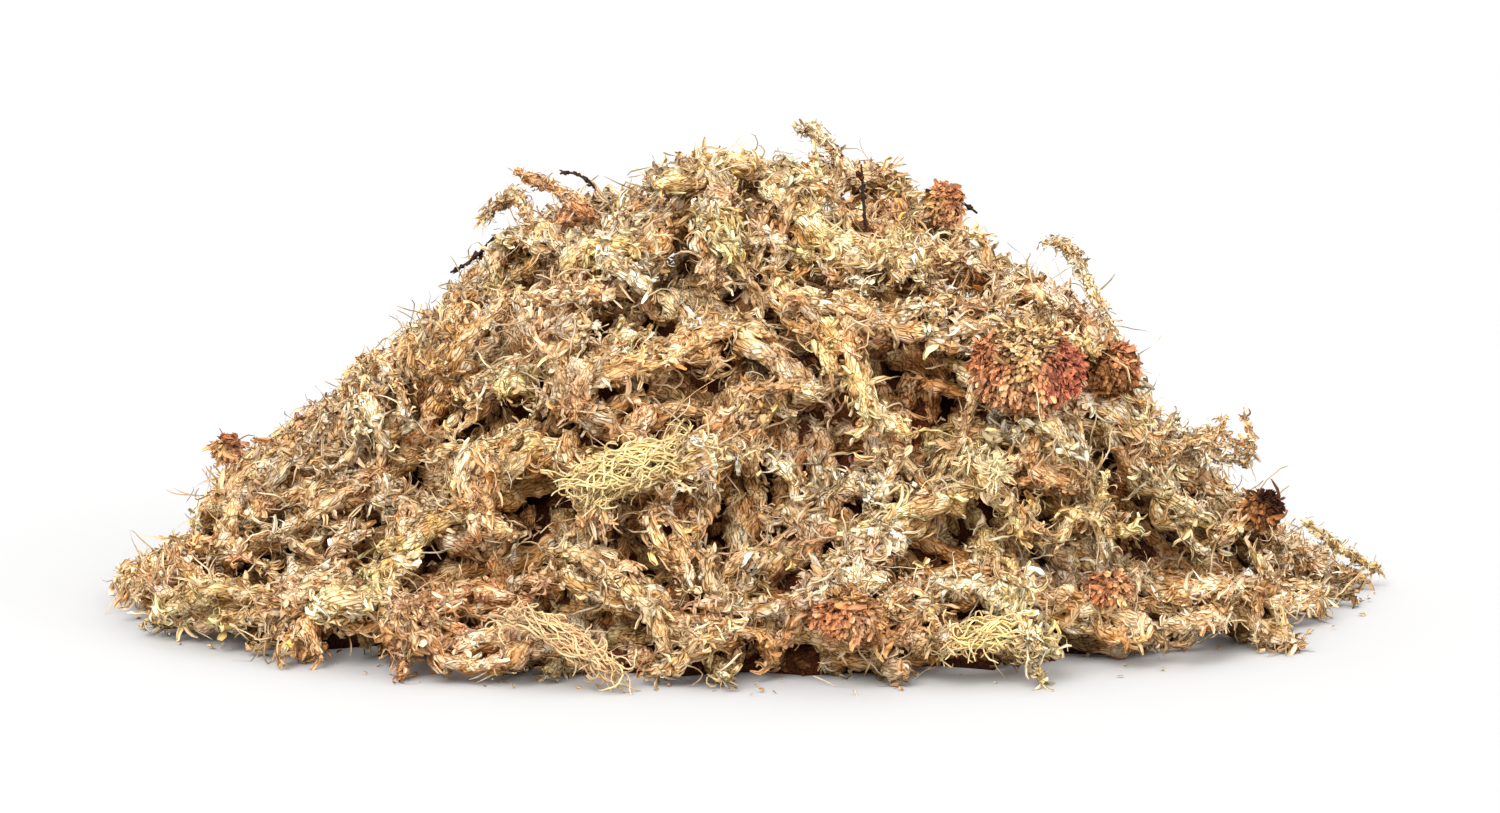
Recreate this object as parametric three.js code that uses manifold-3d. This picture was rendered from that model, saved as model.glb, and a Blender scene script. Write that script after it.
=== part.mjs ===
/**
 * Clump of dried long-fibre sphagnum moss: a loose heap of leafy strands on a flat surface.
 *
 * Units are millimetres, +Z is up, +X runs along the heap's longest side and -Y faces forward.
 * The origin is in the middle of the heap's footprint, on the surface that it lies on.
 *
 * The heap is laid down in the order in which a real one is poured. The packed heart comes first, then the
 * bunches of strands round the foot, up the flanks and over the crown, and last the single heads, sprigs and
 * twigs. Each piece drapes over what lies under it and comes to rest a hair's breadth above it.
 */
import * as THREE from 'three';
import Module from 'manifold-3d';

// ---- driving dimensions -------------------------------------------------------------------------------

const HEAP_HALF_WIDTH = 172; // along X, to the outermost strands
const HEAP_HALF_DEPTH = 141; // along Y
const HEART_HALF_WIDTH = 148;
const HEART_HALF_DEPTH = 118;
const HEART_HEIGHT = 86;
const HEART_FULLNESS = 1.55; // exponent of the flank: 1 is a paraboloid, more is leaner
const RAG_SPACING = 10; // in plan, between the corners of the heart's skin
const RAG_RISE = 6.5; // how far its leaf tips stand out
const RAG_SINK = 2; // how far the skin between the tips lies in
const RAG_LEAN = 1.4; // how strongly a tip leans down the slope that it stands on
const RAG_SHIFT = 1; // of a corner in plan
const HEART_EDGE = 0.985; // share of the way to the heart's edge at which its skin ends
const LEAST_EDGE = 3; // height of the skin where it ends at the foot
const SLOPE_STEP = 2; // over which the slope of the skin is read
const HEART_SEED = 907;

const STRAND_CORE = 6; // radius of a strand's stem with its close leaves
const CORE_SPREAD = [0.85, 1.1]; // of one strand's core, as a share of it
const LAID_CORE = 1.3; // radius at which a strand bears on what lies under it, in core radii
const STRAND_SIDES = 5;
const WHORL_STEP = 1.65; // between two whorls of leaves, in core radii
const SIDE_REACH = [1.7, 2.3]; // distance from the axis of a tip at a strand's side, in core radii
const TOP_REACH = [1.2, 1.5]; // of a tip on top of a strand, which the next strand presses down
const LEAF_LEAN = 0.6; // how far a tip leans towards the strand's end, in whorl steps
const UNDER_REACH = [1, 1.1]; // of a tip under a strand, which its weight folds flat
const SIDE_BAND = 0.55; // tips count as on a side up to this rise or fall of their direction
const SKIN_REACH = [0.8, 1.05]; // distance from the axis of the stem between the tips
const END_GIRTH = 0.55; // of a strand's end, as a share of its core
const END_SWELL = 1.8; // how fast its girth grows from there, for each share of its length
const LEAST_WHORLS = 4;
const SLIVER = 0.05; // edges this short are closed up where strands meet
const LEAST_CORNER_GAP = 0.004; // between the corners of a solid that joined cleanly
const NUDGE = 0.13; // lift of one strand against the next, where a join isn't clean
const MOST_NUDGES = 12;
const STRAND_POINTS = 7; // points that a strand's centre line is drawn through
const MIDDLE_POINT = (STRAND_POINTS - 1) / 2;
const CROSSINGS = [[], [3], [1, 5], [1, 3, 5]]; // points where no, one, two or three branches cross
const BEND = 0.45; // most sideways bow of a strand, as a share of its half length
const WAVE = 0.2; // most sideways wave, likewise
const WAVE_PHASE = 4; // of that wave at the strand's ends, in radians
const HALF_LENGTH = [0.46, 0.54]; // of a strand, as a share of its row's length
const BRIDGE_SAG = 0.8; // sag between two neighbouring points where a strand bridges a hollow
const BRIDGE_PASSES = 6;

const SEAT_GAP = 0.3; // vertical clearance of a piece that rests on another
const GRID_STEP = 0.5; // spacing of the height samples that pieces are laid on
const EDGE_STEP = 0.6; // between the samples along an edge, in grid steps
const GRID_MARGIN = 12; // how far the samples run past the footprint
const NEAR = 2; // how far round a leaf tip the surface is felt
const FOLD_CLEARANCE = 1; // a tip closer above the surface than this is folded in

// Broad swellings of the heart: the crown leans to +X and the left shoulder is full.
const SWELLINGS = [
  { x: 24, y: 0, rise: 9, spread: 24 },
  { x: -56, y: 0, rise: 7, spread: 26 },
];

// Rows of bunches, from the foot to the crown. ring and limit are shares of the way from the middle to the
// edge: where the bunches lie, and how far down the flank their strands may reach. branches are the short
// strands that cross the main one. The rows that come after the large heads lie round them.
const ROWS = [
  {
    name: 'foot_tuft', count: 13, ring: 0.88, limit: 0.96,
    length: 88, branches: 1, along: 0.75, seed: 33343,
  },
  {
    name: 'lower_tuft', count: 10, ring: 0.71, limit: 0.86,
    length: 84, branches: 3, along: 0.5, seed: 27012,
  },
  {
    name: 'upper_tuft', count: 8, ring: 0.48, limit: 0.68,
    length: 80, branches: 2, along: 0.5, seed: 6285,
  },
  {
    name: 'crown_tuft', count: 5, ring: 0.24, limit: 0.42,
    length: 70, branches: 2, along: 0.5, seed: 57336,
  },
];
const ROWS_UNDER_HEADS = 2;
const LEAF_SEEDS = 500; // from the seed of a bunch's plan to that of its leaves
const SPRIG_SEEDS = 600;
const BRANCH_LENGTH = 0.72; // of a main strand's
const BRANCH_SHAKE = 0.2; // of a branch's heading, in half turns
const BUNCH_SHAKE = 0.22; // of a bunch's place round the heap, in steps from bunch to bunch
const RING_SPREAD = [0.93, 1.05]; // of a bunch's distance from the middle, as a share of its row's

// Heads: rosettes of short pointed leaves that close a strand.
const HEADS = [
  { name: 'head_red_large', x: 71.5, y: -89, radius: 16, height: 7, colour: 'red', seed: 11 },
  { name: 'head_rust_front', x: 25, y: -137, radius: 7.5, height: 6, colour: 'red', seed: 12 },
  { name: 'head_red_low', x: 91, y: -111, radius: 6.5, height: 5, colour: 'red', seed: 13 },
  { name: 'head_rust_crown', x: 53.5, y: 3, radius: 6, height: 6, colour: 'red', seed: 14 },
  { name: 'head_dark_right', x: 133.5, y: -62, radius: 6.5, height: 6, colour: 'brown', seed: 15 },
  { name: 'head_brown_right', x: 95, y: -58, radius: 7.5, height: 6, colour: 'brown', seed: 16 },
  { name: 'head_pale_star', x: 62, y: -107, radius: 6.5, height: 5, colour: 'pale', seed: 17 },
  { name: 'head_left', x: -136, y: -38, radius: 5, height: 5, colour: 'red', seed: 18 },
];

const LARGE_HEAD = 10; // radius from which a head is laid between the rows
const HEAD_ROOM = 1.3; // between a large head and the strands' middles, in core radii
const HEAD_TIERS = 5;
const HEAD_SIDES = 9;
const LARGE_HEAD_SIDES = 14;
const HEAD_WIDTH = 0.85; // of its tiers, as a share of its radius
const HEAD_TIP = { reach: [1.1, 1.4], rise: 1.15 }; // of a leaf tip, as shares of the radius and height
const HEAD_SKIN = { reach: [0.75, 0.95], rise: 0.9 }; // between the tips

// Stringy bundles of bare fibres.
const BUNDLES = [
  { name: 'fibre_bundle_large', x: -25.5, y: -110, length: 30, turn: 0.2, width: 14, seed: 21 },
  { name: 'fibre_bundle_low', x: 60, y: -127, length: 22, turn: 0.2, width: 10, seed: 22 },
  { name: 'fibre_bundle_foot', x: -44, y: -135, length: 22, turn: -0.1, width: 9, seed: 23 },
];
const BUNDLE_RINGS = 6;
const BUNDLE_SIDES = 14;
const BUNDLE_WAIST = 0.62; // width of its middle, as a share of its ends'
const BUNDLE_FLATNESS = 0.55; // its height as a share of its width
const BUNDLE_BOW = 3; // rise of its middle over the line between its ends
const BUNDLE_FRAY = [1, 4]; // how far the fibres run past each other at its ends
const FIBRE_REACH = [0.95, 1.15]; // of a fibre, as a share of the half width
const FLUTE_REACH = 0.7; // of the flute between two fibres
const BUNDLE_LAID = 0.3; // radius at which it bears on what lies under it, likewise of its width

// Sprigs that stand out of the heap. Each point is x, y and the lift above what lies there.
const SPRIGS = [
  {
    name: 'sprig_crown',
    core: 2.3,
    points: [[34, 8, 0], [27, 12, 0], [22, 16, 2], [18, 18, 6], [15, 19, 9], [12, 19, 11]],
  },
  {
    name: 'sprig_left_tall',
    core: 1.9,
    points: [[-38, -8, 0], [-45, -3, 0], [-51, 2, 1], [-56, 4, 4], [-60, 5, 8], [-64, 5, 12]],
  },
  {
    name: 'sprig_left_fork',
    core: 2.2,
    points: [[-54, -4, 0], [-61, 2, 0], [-67, 6, 2], [-70, 7, 6], [-73, 7, 9]],
  },
  {
    name: 'sprig_right_curl',
    core: 1.7,
    points: [[98, -58, 0], [94, -52, 0], [90, -49, 3], [86, -48, 6], [81, -47, 9], [76, -47, 7]],
  },
  {
    name: 'spray_right',
    core: 2.4,
    points: [[104, -66, 0], [112, -60, 1], [119, -57, 5], [126, -55, 8], [132, -55, 8], [137, -57, 4]],
  },
  {
    name: 'sprig_left_loop',
    core: 1.8,
    points: [[-86, -48, 0], [-92, -44, 1], [-97, -41, 5], [-102, -39, 4], [-106, -38, 0]],
  },
  {
    name: 'straw_right',
    core: 1.5,
    points: [[150, -4, 0], [158, 0, 0], [166, 4, 0], [176, 9, 0]],
  },
];

// Thin dark twigs, as the sprigs.
const TWIGS = [
  { name: 'twig_crown', points: [[33, -12, 0], [32, -8, 1], [31.5, -5, 7], [31, -3, 14]] },
  { name: 'twig_right', points: [[48, 0, 0], [56, 4, 1], [64, 7, 3]] },
  { name: 'twig_left_hook', points: [[-36, 16, 0], [-41, 19, 2], [-46, 22, 7], [-49, 24, 9], [-52, 25, 8]] },
  { name: 'twig_left_short', points: [[-68, 20, 0], [-75, 23, 0.5], [-82, 26, 3]] },
];
const TWIG_RADIUS = 0.85;
const TWIG_SIDES = 4;

const COLOURS = {
  straw: new THREE.MeshStandardMaterial({ color: '#c9a673', roughness: 0.9, metalness: 0 }),
  heart: new THREE.MeshStandardMaterial({ color: '#7d5a38', roughness: 0.95, metalness: 0 }),
  red: new THREE.MeshStandardMaterial({ color: '#ad6440', roughness: 0.9, metalness: 0 }),
  brown: new THREE.MeshStandardMaterial({ color: '#7c5133', roughness: 0.9, metalness: 0 }),
  pale: new THREE.MeshStandardMaterial({ color: '#ddcd96', roughness: 0.85, metalness: 0 }),
  twig: new THREE.MeshStandardMaterial({ color: '#3a281c', roughness: 0.8, metalness: 0 }),
};

// ---- small helpers --------------------------------------------------------------------------------------

const wasm = await Module();
wasm.setup();

const TURN = 2 * Math.PI;
const UP = new THREE.Vector3(0, 0, 1);

/** A stream of repeatable draws between two bounds. */
function seeded(seed) {
  let state = seed >>> 0;
  return function draw(low = 0, high = 1) {
    state = (state + 0x6d2b79f5) >>> 0;
    let mix = state;
    mix = Math.imul(mix ^ (mix >>> 15), mix | 1);
    mix ^= mix + Math.imul(mix ^ (mix >>> 7), mix | 61);
    const unit = ((mix ^ (mix >>> 14)) >>> 0) / 4294967296;
    return low + (high - low) * unit;
  };
}

/** Closed geometry from rows of points, all rows alike in length, closed at both ends by a single point. */
function ringedSolid(start, rings, end) {
  const sides = rings[0].length;
  const points = [start, ...rings.flat(), end];
  const last = points.length - 1;
  const faces = [];
  const at = (ring, side) => 1 + ring * sides + (side % sides);
  for (let side = 0; side < sides; side += 1) {
    faces.push([0, at(0, side + 1), at(0, side)]);
    faces.push([last, at(rings.length - 1, side), at(rings.length - 1, side + 1)]);
    for (let ring = 0; ring < rings.length - 1; ring += 1) {
      faces.push([at(ring, side), at(ring, side + 1), at(ring + 1, side)]);
      faces.push([at(ring, side + 1), at(ring + 1, side + 1), at(ring + 1, side)]);
    }
  }
  return toManifold(points, faces);
}

/** A manifold-3d solid from points and triangles. */
function toManifold(points, faces) {
  const vertProperties = new Float32Array(points.flatMap((point) => [point.x, point.y, point.z]));
  const triVerts = new Uint32Array(faces.flat());
  return new wasm.Manifold(new wasm.Mesh({ numProp: 3, vertProperties, triVerts }));
}

/** All the solids as one, without the slivers and loose scraps that a join may leave. */
function fuse(solids) {
  const joined = solids.reduce((whole, solid) => whole.add(solid)).simplify(SLIVER);
  const pieces = joined.decompose();
  return pieces.reduce((largest, piece) => (piece.volume() > largest.volume() ? piece : largest));
}

/** A BufferGeometry from a manifold-3d solid. */
function toGeometry(solid) {
  const mesh = solid.getMesh();
  const geometry = new THREE.BufferGeometry();
  geometry.setAttribute('position', new THREE.BufferAttribute(Float32Array.from(mesh.vertProperties), 3));
  geometry.setIndex(new THREE.BufferAttribute(Uint32Array.from(mesh.triVerts), 1));
  return geometry;
}

// ---- the ground that pieces are laid on -----------------------------------------------------------------

/** Height samples of everything laid so far, over the whole footprint. */
class LaidSurface {
  constructor() {
    this.halfWidth = HEAP_HALF_WIDTH + GRID_MARGIN;
    this.halfDepth = HEAP_HALF_DEPTH + GRID_MARGIN;
    this.columns = Math.ceil((2 * this.halfWidth) / GRID_STEP);
    this.rows = Math.ceil((2 * this.halfDepth) / GRID_STEP);
    this.heights = new Float64Array(this.columns * this.rows);
  }

  column(x) {
    const column = Math.round((x + this.halfWidth) / GRID_STEP);
    return Math.min(Math.max(column, 0), this.columns - 1);
  }

  row(y) {
    const row = Math.round((y + this.halfDepth) / GRID_STEP);
    return Math.min(Math.max(row, 0), this.rows - 1);
  }

  /** Height of the centre of a ball that rests on the surface over x, y. */
  restHeight(x, y, radius) {
    const reach = Math.ceil(radius / GRID_STEP);
    const column = this.column(x);
    const row = this.row(y);
    let highest = radius;
    for (let i = -reach; i <= reach; i += 1) {
      for (let j = -reach; j <= reach; j += 1) {
        const room = radius * radius - (i * i + j * j) * GRID_STEP * GRID_STEP;
        const inside = column + i >= 0 && column + i < this.columns && row + j >= 0 && row + j < this.rows;
        if (room >= 0 && inside) {
          const height = this.heights[(row + j) * this.columns + column + i];
          highest = Math.max(highest, height + Math.sqrt(room));
        }
      }
    }
    return highest;
  }

  /** The highest sample close to x, y. */
  topNear(x, y) {
    const reach = Math.ceil(NEAR / GRID_STEP);
    let highest = 0;
    for (let row = this.row(y) - reach; row <= this.row(y) + reach; row += 1) {
      for (let column = this.column(x) - reach; column <= this.column(x) + reach; column += 1) {
        highest = Math.max(highest, this.heights[row * this.columns + column] ?? 0);
      }
    }
    return highest;
  }

  /** Calls visit(sample, height) for the samples that a geometry's faces and edges pass over. */
  sweep(geometry, visit) {
    const position = geometry.getAttribute('position');
    const index = geometry.getIndex();
    const corners = [new THREE.Vector3(), new THREE.Vector3(), new THREE.Vector3()];
    for (let face = 0; face < index.count; face += 3) {
      corners.forEach((corner, k) => corner.fromBufferAttribute(position, index.getX(face + k)));
      corners.forEach((corner, k) => this.sweepEdge(corner, corners[(k + 1) % 3], visit));
      this.sweepFace(corners, visit);
    }
  }

  sweepEdge(from, to, visit) {
    const steps = Math.ceil(from.distanceTo(to) / (EDGE_STEP * GRID_STEP)) + 1;
    for (let i = 0; i <= steps; i += 1) {
      const point = from.clone().lerp(to, i / steps);
      visit(this.row(point.y) * this.columns + this.column(point.x), point.z);
    }
  }

  sweepFace([a, b, c], visit) {
    const area = (b.x - a.x) * (c.y - a.y) - (c.x - a.x) * (b.y - a.y);
    if (Math.abs(area) < 1e-6) {
      return;
    }
    const firstColumn = this.column(Math.min(a.x, b.x, c.x));
    const lastColumn = this.column(Math.max(a.x, b.x, c.x));
    const firstRow = this.row(Math.min(a.y, b.y, c.y));
    const lastRow = this.row(Math.max(a.y, b.y, c.y));
    for (let row = firstRow; row <= lastRow; row += 1) {
      for (let column = firstColumn; column <= lastColumn; column += 1) {
        const x = column * GRID_STEP - this.halfWidth;
        const y = row * GRID_STEP - this.halfDepth;
        const u = ((x - a.x) * (c.y - a.y) - (c.x - a.x) * (y - a.y)) / area;
        const v = ((b.x - a.x) * (y - a.y) - (x - a.x) * (b.y - a.y)) / area;
        if (u >= 0 && v >= 0 && u + v <= 1) {
          visit(row * this.columns + column, a.z + u * (b.z - a.z) + v * (c.z - a.z));
        }
      }
    }
  }

  /** Lowers or lifts a geometry until it rests on the surface, and makes it part of the surface. */
  lay(geometry) {
    let clearance = Infinity;
    this.sweep(geometry, (sample, height) => {
      clearance = Math.min(clearance, height - this.heights[sample]);
    });
    geometry.translate(0, 0, SEAT_GAP - clearance);
    this.add(geometry);
    return geometry;
  }

  /** Makes a geometry that is already in its place part of the surface. */
  add(geometry) {
    this.sweep(geometry, (sample, height) => {
      this.heights[sample] = Math.max(this.heights[sample], height);
    });
  }
}

// ---- the heart ------------------------------------------------------------------------------------------

/** Height of the heart's skin over a share of the way to its edge, without its leaf tips. */
function heartHeight(x, y) {
  const share = Math.min(Math.hypot(x / HEART_HALF_WIDTH, y / HEART_HALF_DEPTH), 1);
  const dome = HEART_HEIGHT * (1 - share * share) ** HEART_FULLNESS;
  const swell = SWELLINGS.reduce((sum, { x: midX, y: midY, rise, spread }) => {
    const distance = Math.hypot(x - midX, y - midY) / spread;
    return sum + rise * Math.exp(-distance * distance);
  }, 0);
  return dome + swell * Math.sqrt(1 - share * share);
}

/** Rise of the heart's skin for each millimetre along X and Y. */
function heartSlope(x, y) {
  return new THREE.Vector2(
    heartHeight(x + SLOPE_STEP, y) - heartHeight(x - SLOPE_STEP, y),
    heartHeight(x, y + SLOPE_STEP) - heartHeight(x, y - SLOPE_STEP),
  ).divideScalar(2 * SLOPE_STEP);
}

/** A corner of the heart's skin: every third one is a leaf tip, which leans out and down the flank. */
function ragCorner(x, y, isTip, draw) {
  const slope = heartSlope(x, y);
  const outward = new THREE.Vector3(-RAG_LEAN * slope.x, -RAG_LEAN * slope.y, 1).normalize();
  const rag = isTip ? RAG_RISE * draw(0.7, 1.3) : -RAG_SINK * draw(0.3, 1.2);
  const shiftX = draw(-RAG_SHIFT, RAG_SHIFT);
  const shiftY = draw(-RAG_SHIFT, RAG_SHIFT);
  const corner = new THREE.Vector3(x + shiftX, y + shiftY, heartHeight(x, y));
  corner.addScaledVector(outward, rag);
  corner.z = Math.max(corner.z, LEAST_EDGE * draw(1, 1.8));
  return corner;
}

/** The heart: a matted dome with a flat underside, its skin a net of triangles with raised rags of leaves. */
function heartSolid() {
  const draw = seeded(HEART_SEED);
  const rowStep = RAG_SPACING * Math.sqrt(0.75);
  const rows = Math.floor(HEART_HALF_DEPTH / rowStep);
  const columns = Math.floor(HEART_HALF_WIDTH / RAG_SPACING) + 1;
  const points = [];
  const numbers = new Map();
  for (let row = -rows; row <= rows; row += 1) {
    for (let column = -columns; column <= columns; column += 1) {
      const x = (column + 0.5 * (Math.abs(row) % 2)) * RAG_SPACING;
      const y = row * rowStep;
      if (Math.hypot(x / HEART_HALF_WIDTH, y / HEART_HALF_DEPTH) < HEART_EDGE) {
        const isTip = (((column - Math.floor(row / 2) + row * 2) % 3) + 3) % 3 === 0;
        numbers.set(`${row},${column}`, points.length);
        points.push(ragCorner(x, y, isTip, draw));
      }
    }
  }
  const skin = skinTriangles(numbers, rows, columns);
  return closeBelow(points, skin);
}

/** Triangles of the net between the rows of corners that are there. */
function skinTriangles(numbers, rows, columns) {
  const faces = [];
  const addFace = (...keys) => {
    const corners = keys.map(([row, column]) => numbers.get(`${row},${column}`));
    if (corners.every((corner) => corner !== undefined)) {
      faces.push(corners);
    }
  };
  for (let row = -rows; row < rows; row += 1) {
    const shift = Math.abs(row) % 2;
    for (let column = -columns; column <= columns; column += 1) {
      addFace([row, column], [row, column + 1], [row + 1, column + shift]);
      addFace([row, column + 1], [row + 1, column + 1 + shift], [row + 1, column + shift]);
    }
  }
  return faces;
}

/** Closes a skin to a solid: its edge runs down to the ground, under which it is flat. */
function closeBelow(points, skin) {
  const edges = new Map();
  skin.forEach(([a, b, c]) => {
    [[a, b], [b, c], [c, a]].forEach(([from, to]) => edges.set(`${from},${to}`, [from, to]));
  });
  const outline = [...edges.values()].filter(([from, to]) => !edges.has(`${to},${from}`));
  const next = new Map(outline);
  const loop = [outline[0][0]];
  while (next.get(loop[loop.length - 1]) !== loop[0]) {
    loop.push(next.get(loop[loop.length - 1]));
  }
  const base = points.length;
  loop.forEach((corner) => points.push(new THREE.Vector3(points[corner].x, points[corner].y, 0)));
  const faces = [...skin];
  loop.forEach((corner, i) => {
    const following = (i + 1) % loop.length;
    faces.push([corner, base + i, loop[following]]);
    faces.push([loop[following], base + i, base + following]);
  });
  const plan = loop.map((corner) => new THREE.Vector2(points[corner].x, points[corner].y));
  const floor = THREE.ShapeUtils.triangulateShape(plan, []);
  floor.forEach(([a, b, c]) => faces.push([base + c, base + b, base + a]));
  return toManifold(points, faces);
}

// ---- strands, bunches and sprigs --------------------------------------------------------------------------

/** Moves a point in plan back inside a share of the footprint. */
function keepInside(point, limit) {
  const share = Math.hypot(point.x / HEAP_HALF_WIDTH, point.y / HEAP_HALF_DEPTH);
  return share > limit ? point.multiplyScalar(limit / share) : point;
}

/** Moves a point in plan out of the places that the heads take. */
function keepOff(point, heads) {
  heads.forEach((head) => {
    const middle = new THREE.Vector2(head.x, head.y);
    const away = point.clone().sub(middle);
    const room = head.radius + HEAD_ROOM * STRAND_CORE;
    if (away.length() < room) {
      point.copy(middle).addScaledVector(away.normalize(), room);
    }
  });
  return point;
}

/** One crooked centre line in plan through a middle. */
function strandPlan(middle, heading, length, { limit, heads }, draw) {
  const bend = draw(-BEND, BEND);
  const wave = draw(-WAVE, WAVE);
  const reach = length * draw(...HALF_LENGTH);
  const along = new THREE.Vector2(Math.cos(heading), Math.sin(heading));
  const aside = new THREE.Vector2(-along.y, along.x);
  const plan = [];
  for (let i = 0; i < STRAND_POINTS; i += 1) {
    const share = i / MIDDLE_POINT - 1;
    const point = middle.clone().addScaledVector(along, reach * share);
    point.addScaledVector(aside, reach * (bend * share * share + wave * Math.sin(WAVE_PHASE * share)));
    plan.push(keepOff(keepInside(point, limit), heads));
  }
  return plan;
}

/** Centre lines of a bunch in plan: a main strand, and branches that cross it at points of its own line. */
function bunchPlan(middle, heading, row, draw) {
  const main = strandPlan(middle, heading, row.length, row, draw);
  const plans = [main];
  CROSSINGS[row.branches].forEach((crossing) => {
    const turn = heading + Math.PI * (0.5 + draw(-BRANCH_SHAKE, BRANCH_SHAKE));
    plans.push(strandPlan(main[crossing].clone(), turn, BRANCH_LENGTH * row.length, row, draw));
  });
  return plans;
}

/** Bunches of a row, spread evenly round the heap with a seeded shake. */
function rowPlan(row) {
  const bunches = [];
  for (let i = 0; i < row.count; i += 1) {
    const draw = seeded(row.seed + i);
    const angle = (TURN * (i + draw(-BUNCH_SHAKE, BUNCH_SHAKE))) / row.count + row.ring;
    const share = row.ring * draw(...RING_SPREAD);
    const middle = new THREE.Vector2(
      HEAP_HALF_WIDTH * share * Math.cos(angle),
      HEAP_HALF_DEPTH * share * Math.sin(angle),
    );
    const heading = angle + Math.PI * 0.5 * (1 + draw(-1, 1) * (1 - row.along));
    bunches.push(bunchPlan(keepOff(keepInside(middle, row.limit), row.heads), heading, row, draw));
  }
  return bunches;
}

/** Shortest and longest reach of a leaf tip, by how far its direction rises. */
function tipReach(rise) {
  if (Math.abs(rise) < SIDE_BAND) {
    return SIDE_REACH;
  }
  return rise > 0 ? TOP_REACH : UNDER_REACH;
}

/** A strand: a stem with close leaves, whose tips wind round it and fold where they would touch. */
function leafyStrand(surface, points, core, draw) {
  const curve = new THREE.CatmullRomCurve3(points, false, 'centripetal');
  const step = WHORL_STEP * core;
  const count = Math.max(LEAST_WHORLS, Math.round(curve.getLength() / step));
  const frames = curve.computeFrenetFrames(count, false);
  const rings = [];
  for (let i = 1; i < count; i += 1) {
    const share = i / count;
    const centre = curve.getPointAt(share);
    const girth = core * Math.min(1, END_GIRTH + END_SWELL * Math.min(share, 1 - share));
    const ring = [];
    for (let side = 0; side < STRAND_SIDES; side += 1) {
      const angle = (TURN * (side + 0.5 * i)) / STRAND_SIDES;
      const outward = frames.normals[i].clone().multiplyScalar(Math.cos(angle));
      outward.addScaledVector(frames.binormals[i], Math.sin(angle));
      const skin = centre.clone().addScaledVector(outward, girth * draw(...SKIN_REACH));
      const tip = centre.clone().addScaledVector(outward, girth * draw(...tipReach(outward.z)));
      tip.addScaledVector(frames.tangents[i], LEAF_LEAN * step);
      const isTip = (2 * side + i) % STRAND_SIDES < 2;
      const isFree = tip.z > surface.topNear(tip.x, tip.y) + FOLD_CLEARANCE;
      ring.push(isTip && isFree ? tip : skin);
    }
    rings.push(ring);
  }
  return ringedSolid(curve.getPointAt(0), rings, curve.getPointAt(1));
}

/** Lifts the points that hang deeper between their neighbours than a strand sags. */
function bridge(line) {
  for (let pass = 0; pass < BRIDGE_PASSES; pass += 1) {
    for (let i = 1; i < line.length - 1; i += 1) {
      line[i].z = Math.max(line[i].z, 0.5 * (line[i - 1].z + line[i + 1].z) - BRIDGE_SAG);
    }
  }
}

/** A centre line in space that lies on the surface and bridges its hollows. */
function drape(surface, plan, radius) {
  const line = plan.map(({ x, y }) => new THREE.Vector3(x, y, surface.restHeight(x, y, radius)));
  bridge(line);
  return line;
}

/** Brings each branch to the height at which the main strand passes its middle, or the other way about. */
function meet([main, ...branches]) {
  const middle = (branch) => branch[MIDDLE_POINT];
  for (let pass = 0; pass < BRIDGE_PASSES; pass += 1) {
    branches.forEach((branch) => {
      const crossed = main.reduce((nearest, point) => {
        const isNearer = Math.hypot(point.x - middle(branch).x, point.y - middle(branch).y)
          < Math.hypot(nearest.x - middle(branch).x, nearest.y - middle(branch).y);
        return isNearer ? point : nearest;
      });
      const height = Math.max(crossed.z, middle(branch).z);
      crossed.z = height;
      middle(branch).z = height;
      bridge(branch);
    });
    bridge(main);
  }
}

/** Whether all the corners of a solid stand clear of each other, as a clean join leaves them. */
function hasClearCorners(solid) {
  const { vertProperties } = solid.getMesh();
  const corners = [];
  for (let i = 0; i < vertProperties.length; i += 3) {
    corners.push(new THREE.Vector3().fromArray(vertProperties, i));
  }
  corners.sort((a, b) => a.x - b.x);
  return corners.every((corner, i) => {
    for (let k = i + 1; k < corners.length && corners[k].x - corner.x < LEAST_CORNER_GAP; k += 1) {
      if (corners[k].distanceTo(corner) < LEAST_CORNER_GAP) {
        return false;
      }
    }
    return true;
  });
}

/** The strands of a bunch, each lifted by its number times the nudge. */
function bunchStrands(surface, plans, seed, nudge) {
  const draw = seeded(seed);
  const cores = plans.map(() => STRAND_CORE * draw(...CORE_SPREAD));
  const lines = plans.map((plan, strand) => drape(surface, plan, LAID_CORE * cores[strand]));
  meet(lines);
  return lines.map((line, strand) => {
    line.forEach((point) => {
      point.z += strand * nudge;
    });
    return leafyStrand(surface, line, cores[strand], draw);
  });
}

/** A bunch of strands that lies on the surface, nudged by a hair until its strands join cleanly. */
function bunch(surface, plans, seed) {
  let solid = fuse(bunchStrands(surface, plans, seed, 0));
  for (let nudge = 1; nudge <= MOST_NUDGES && !hasClearCorners(solid); nudge += 1) {
    solid = fuse(bunchStrands(surface, plans, seed, nudge * NUDGE));
  }
  return solid;
}

/** A draped centre line with a lift of its own at each point. */
function liftedPath(surface, points, radius) {
  const line = drape(surface, points.map(([x, y]) => new THREE.Vector2(x, y)), radius);
  line.forEach((point, i) => {
    point.z += points[i][2];
  });
  return line;
}

/** A single sprig whose foot lies on the surface. */
function sprig(surface, { core, points }, draw) {
  return leafyStrand(surface, liftedPath(surface, points, LAID_CORE * core), core, draw);
}

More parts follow.
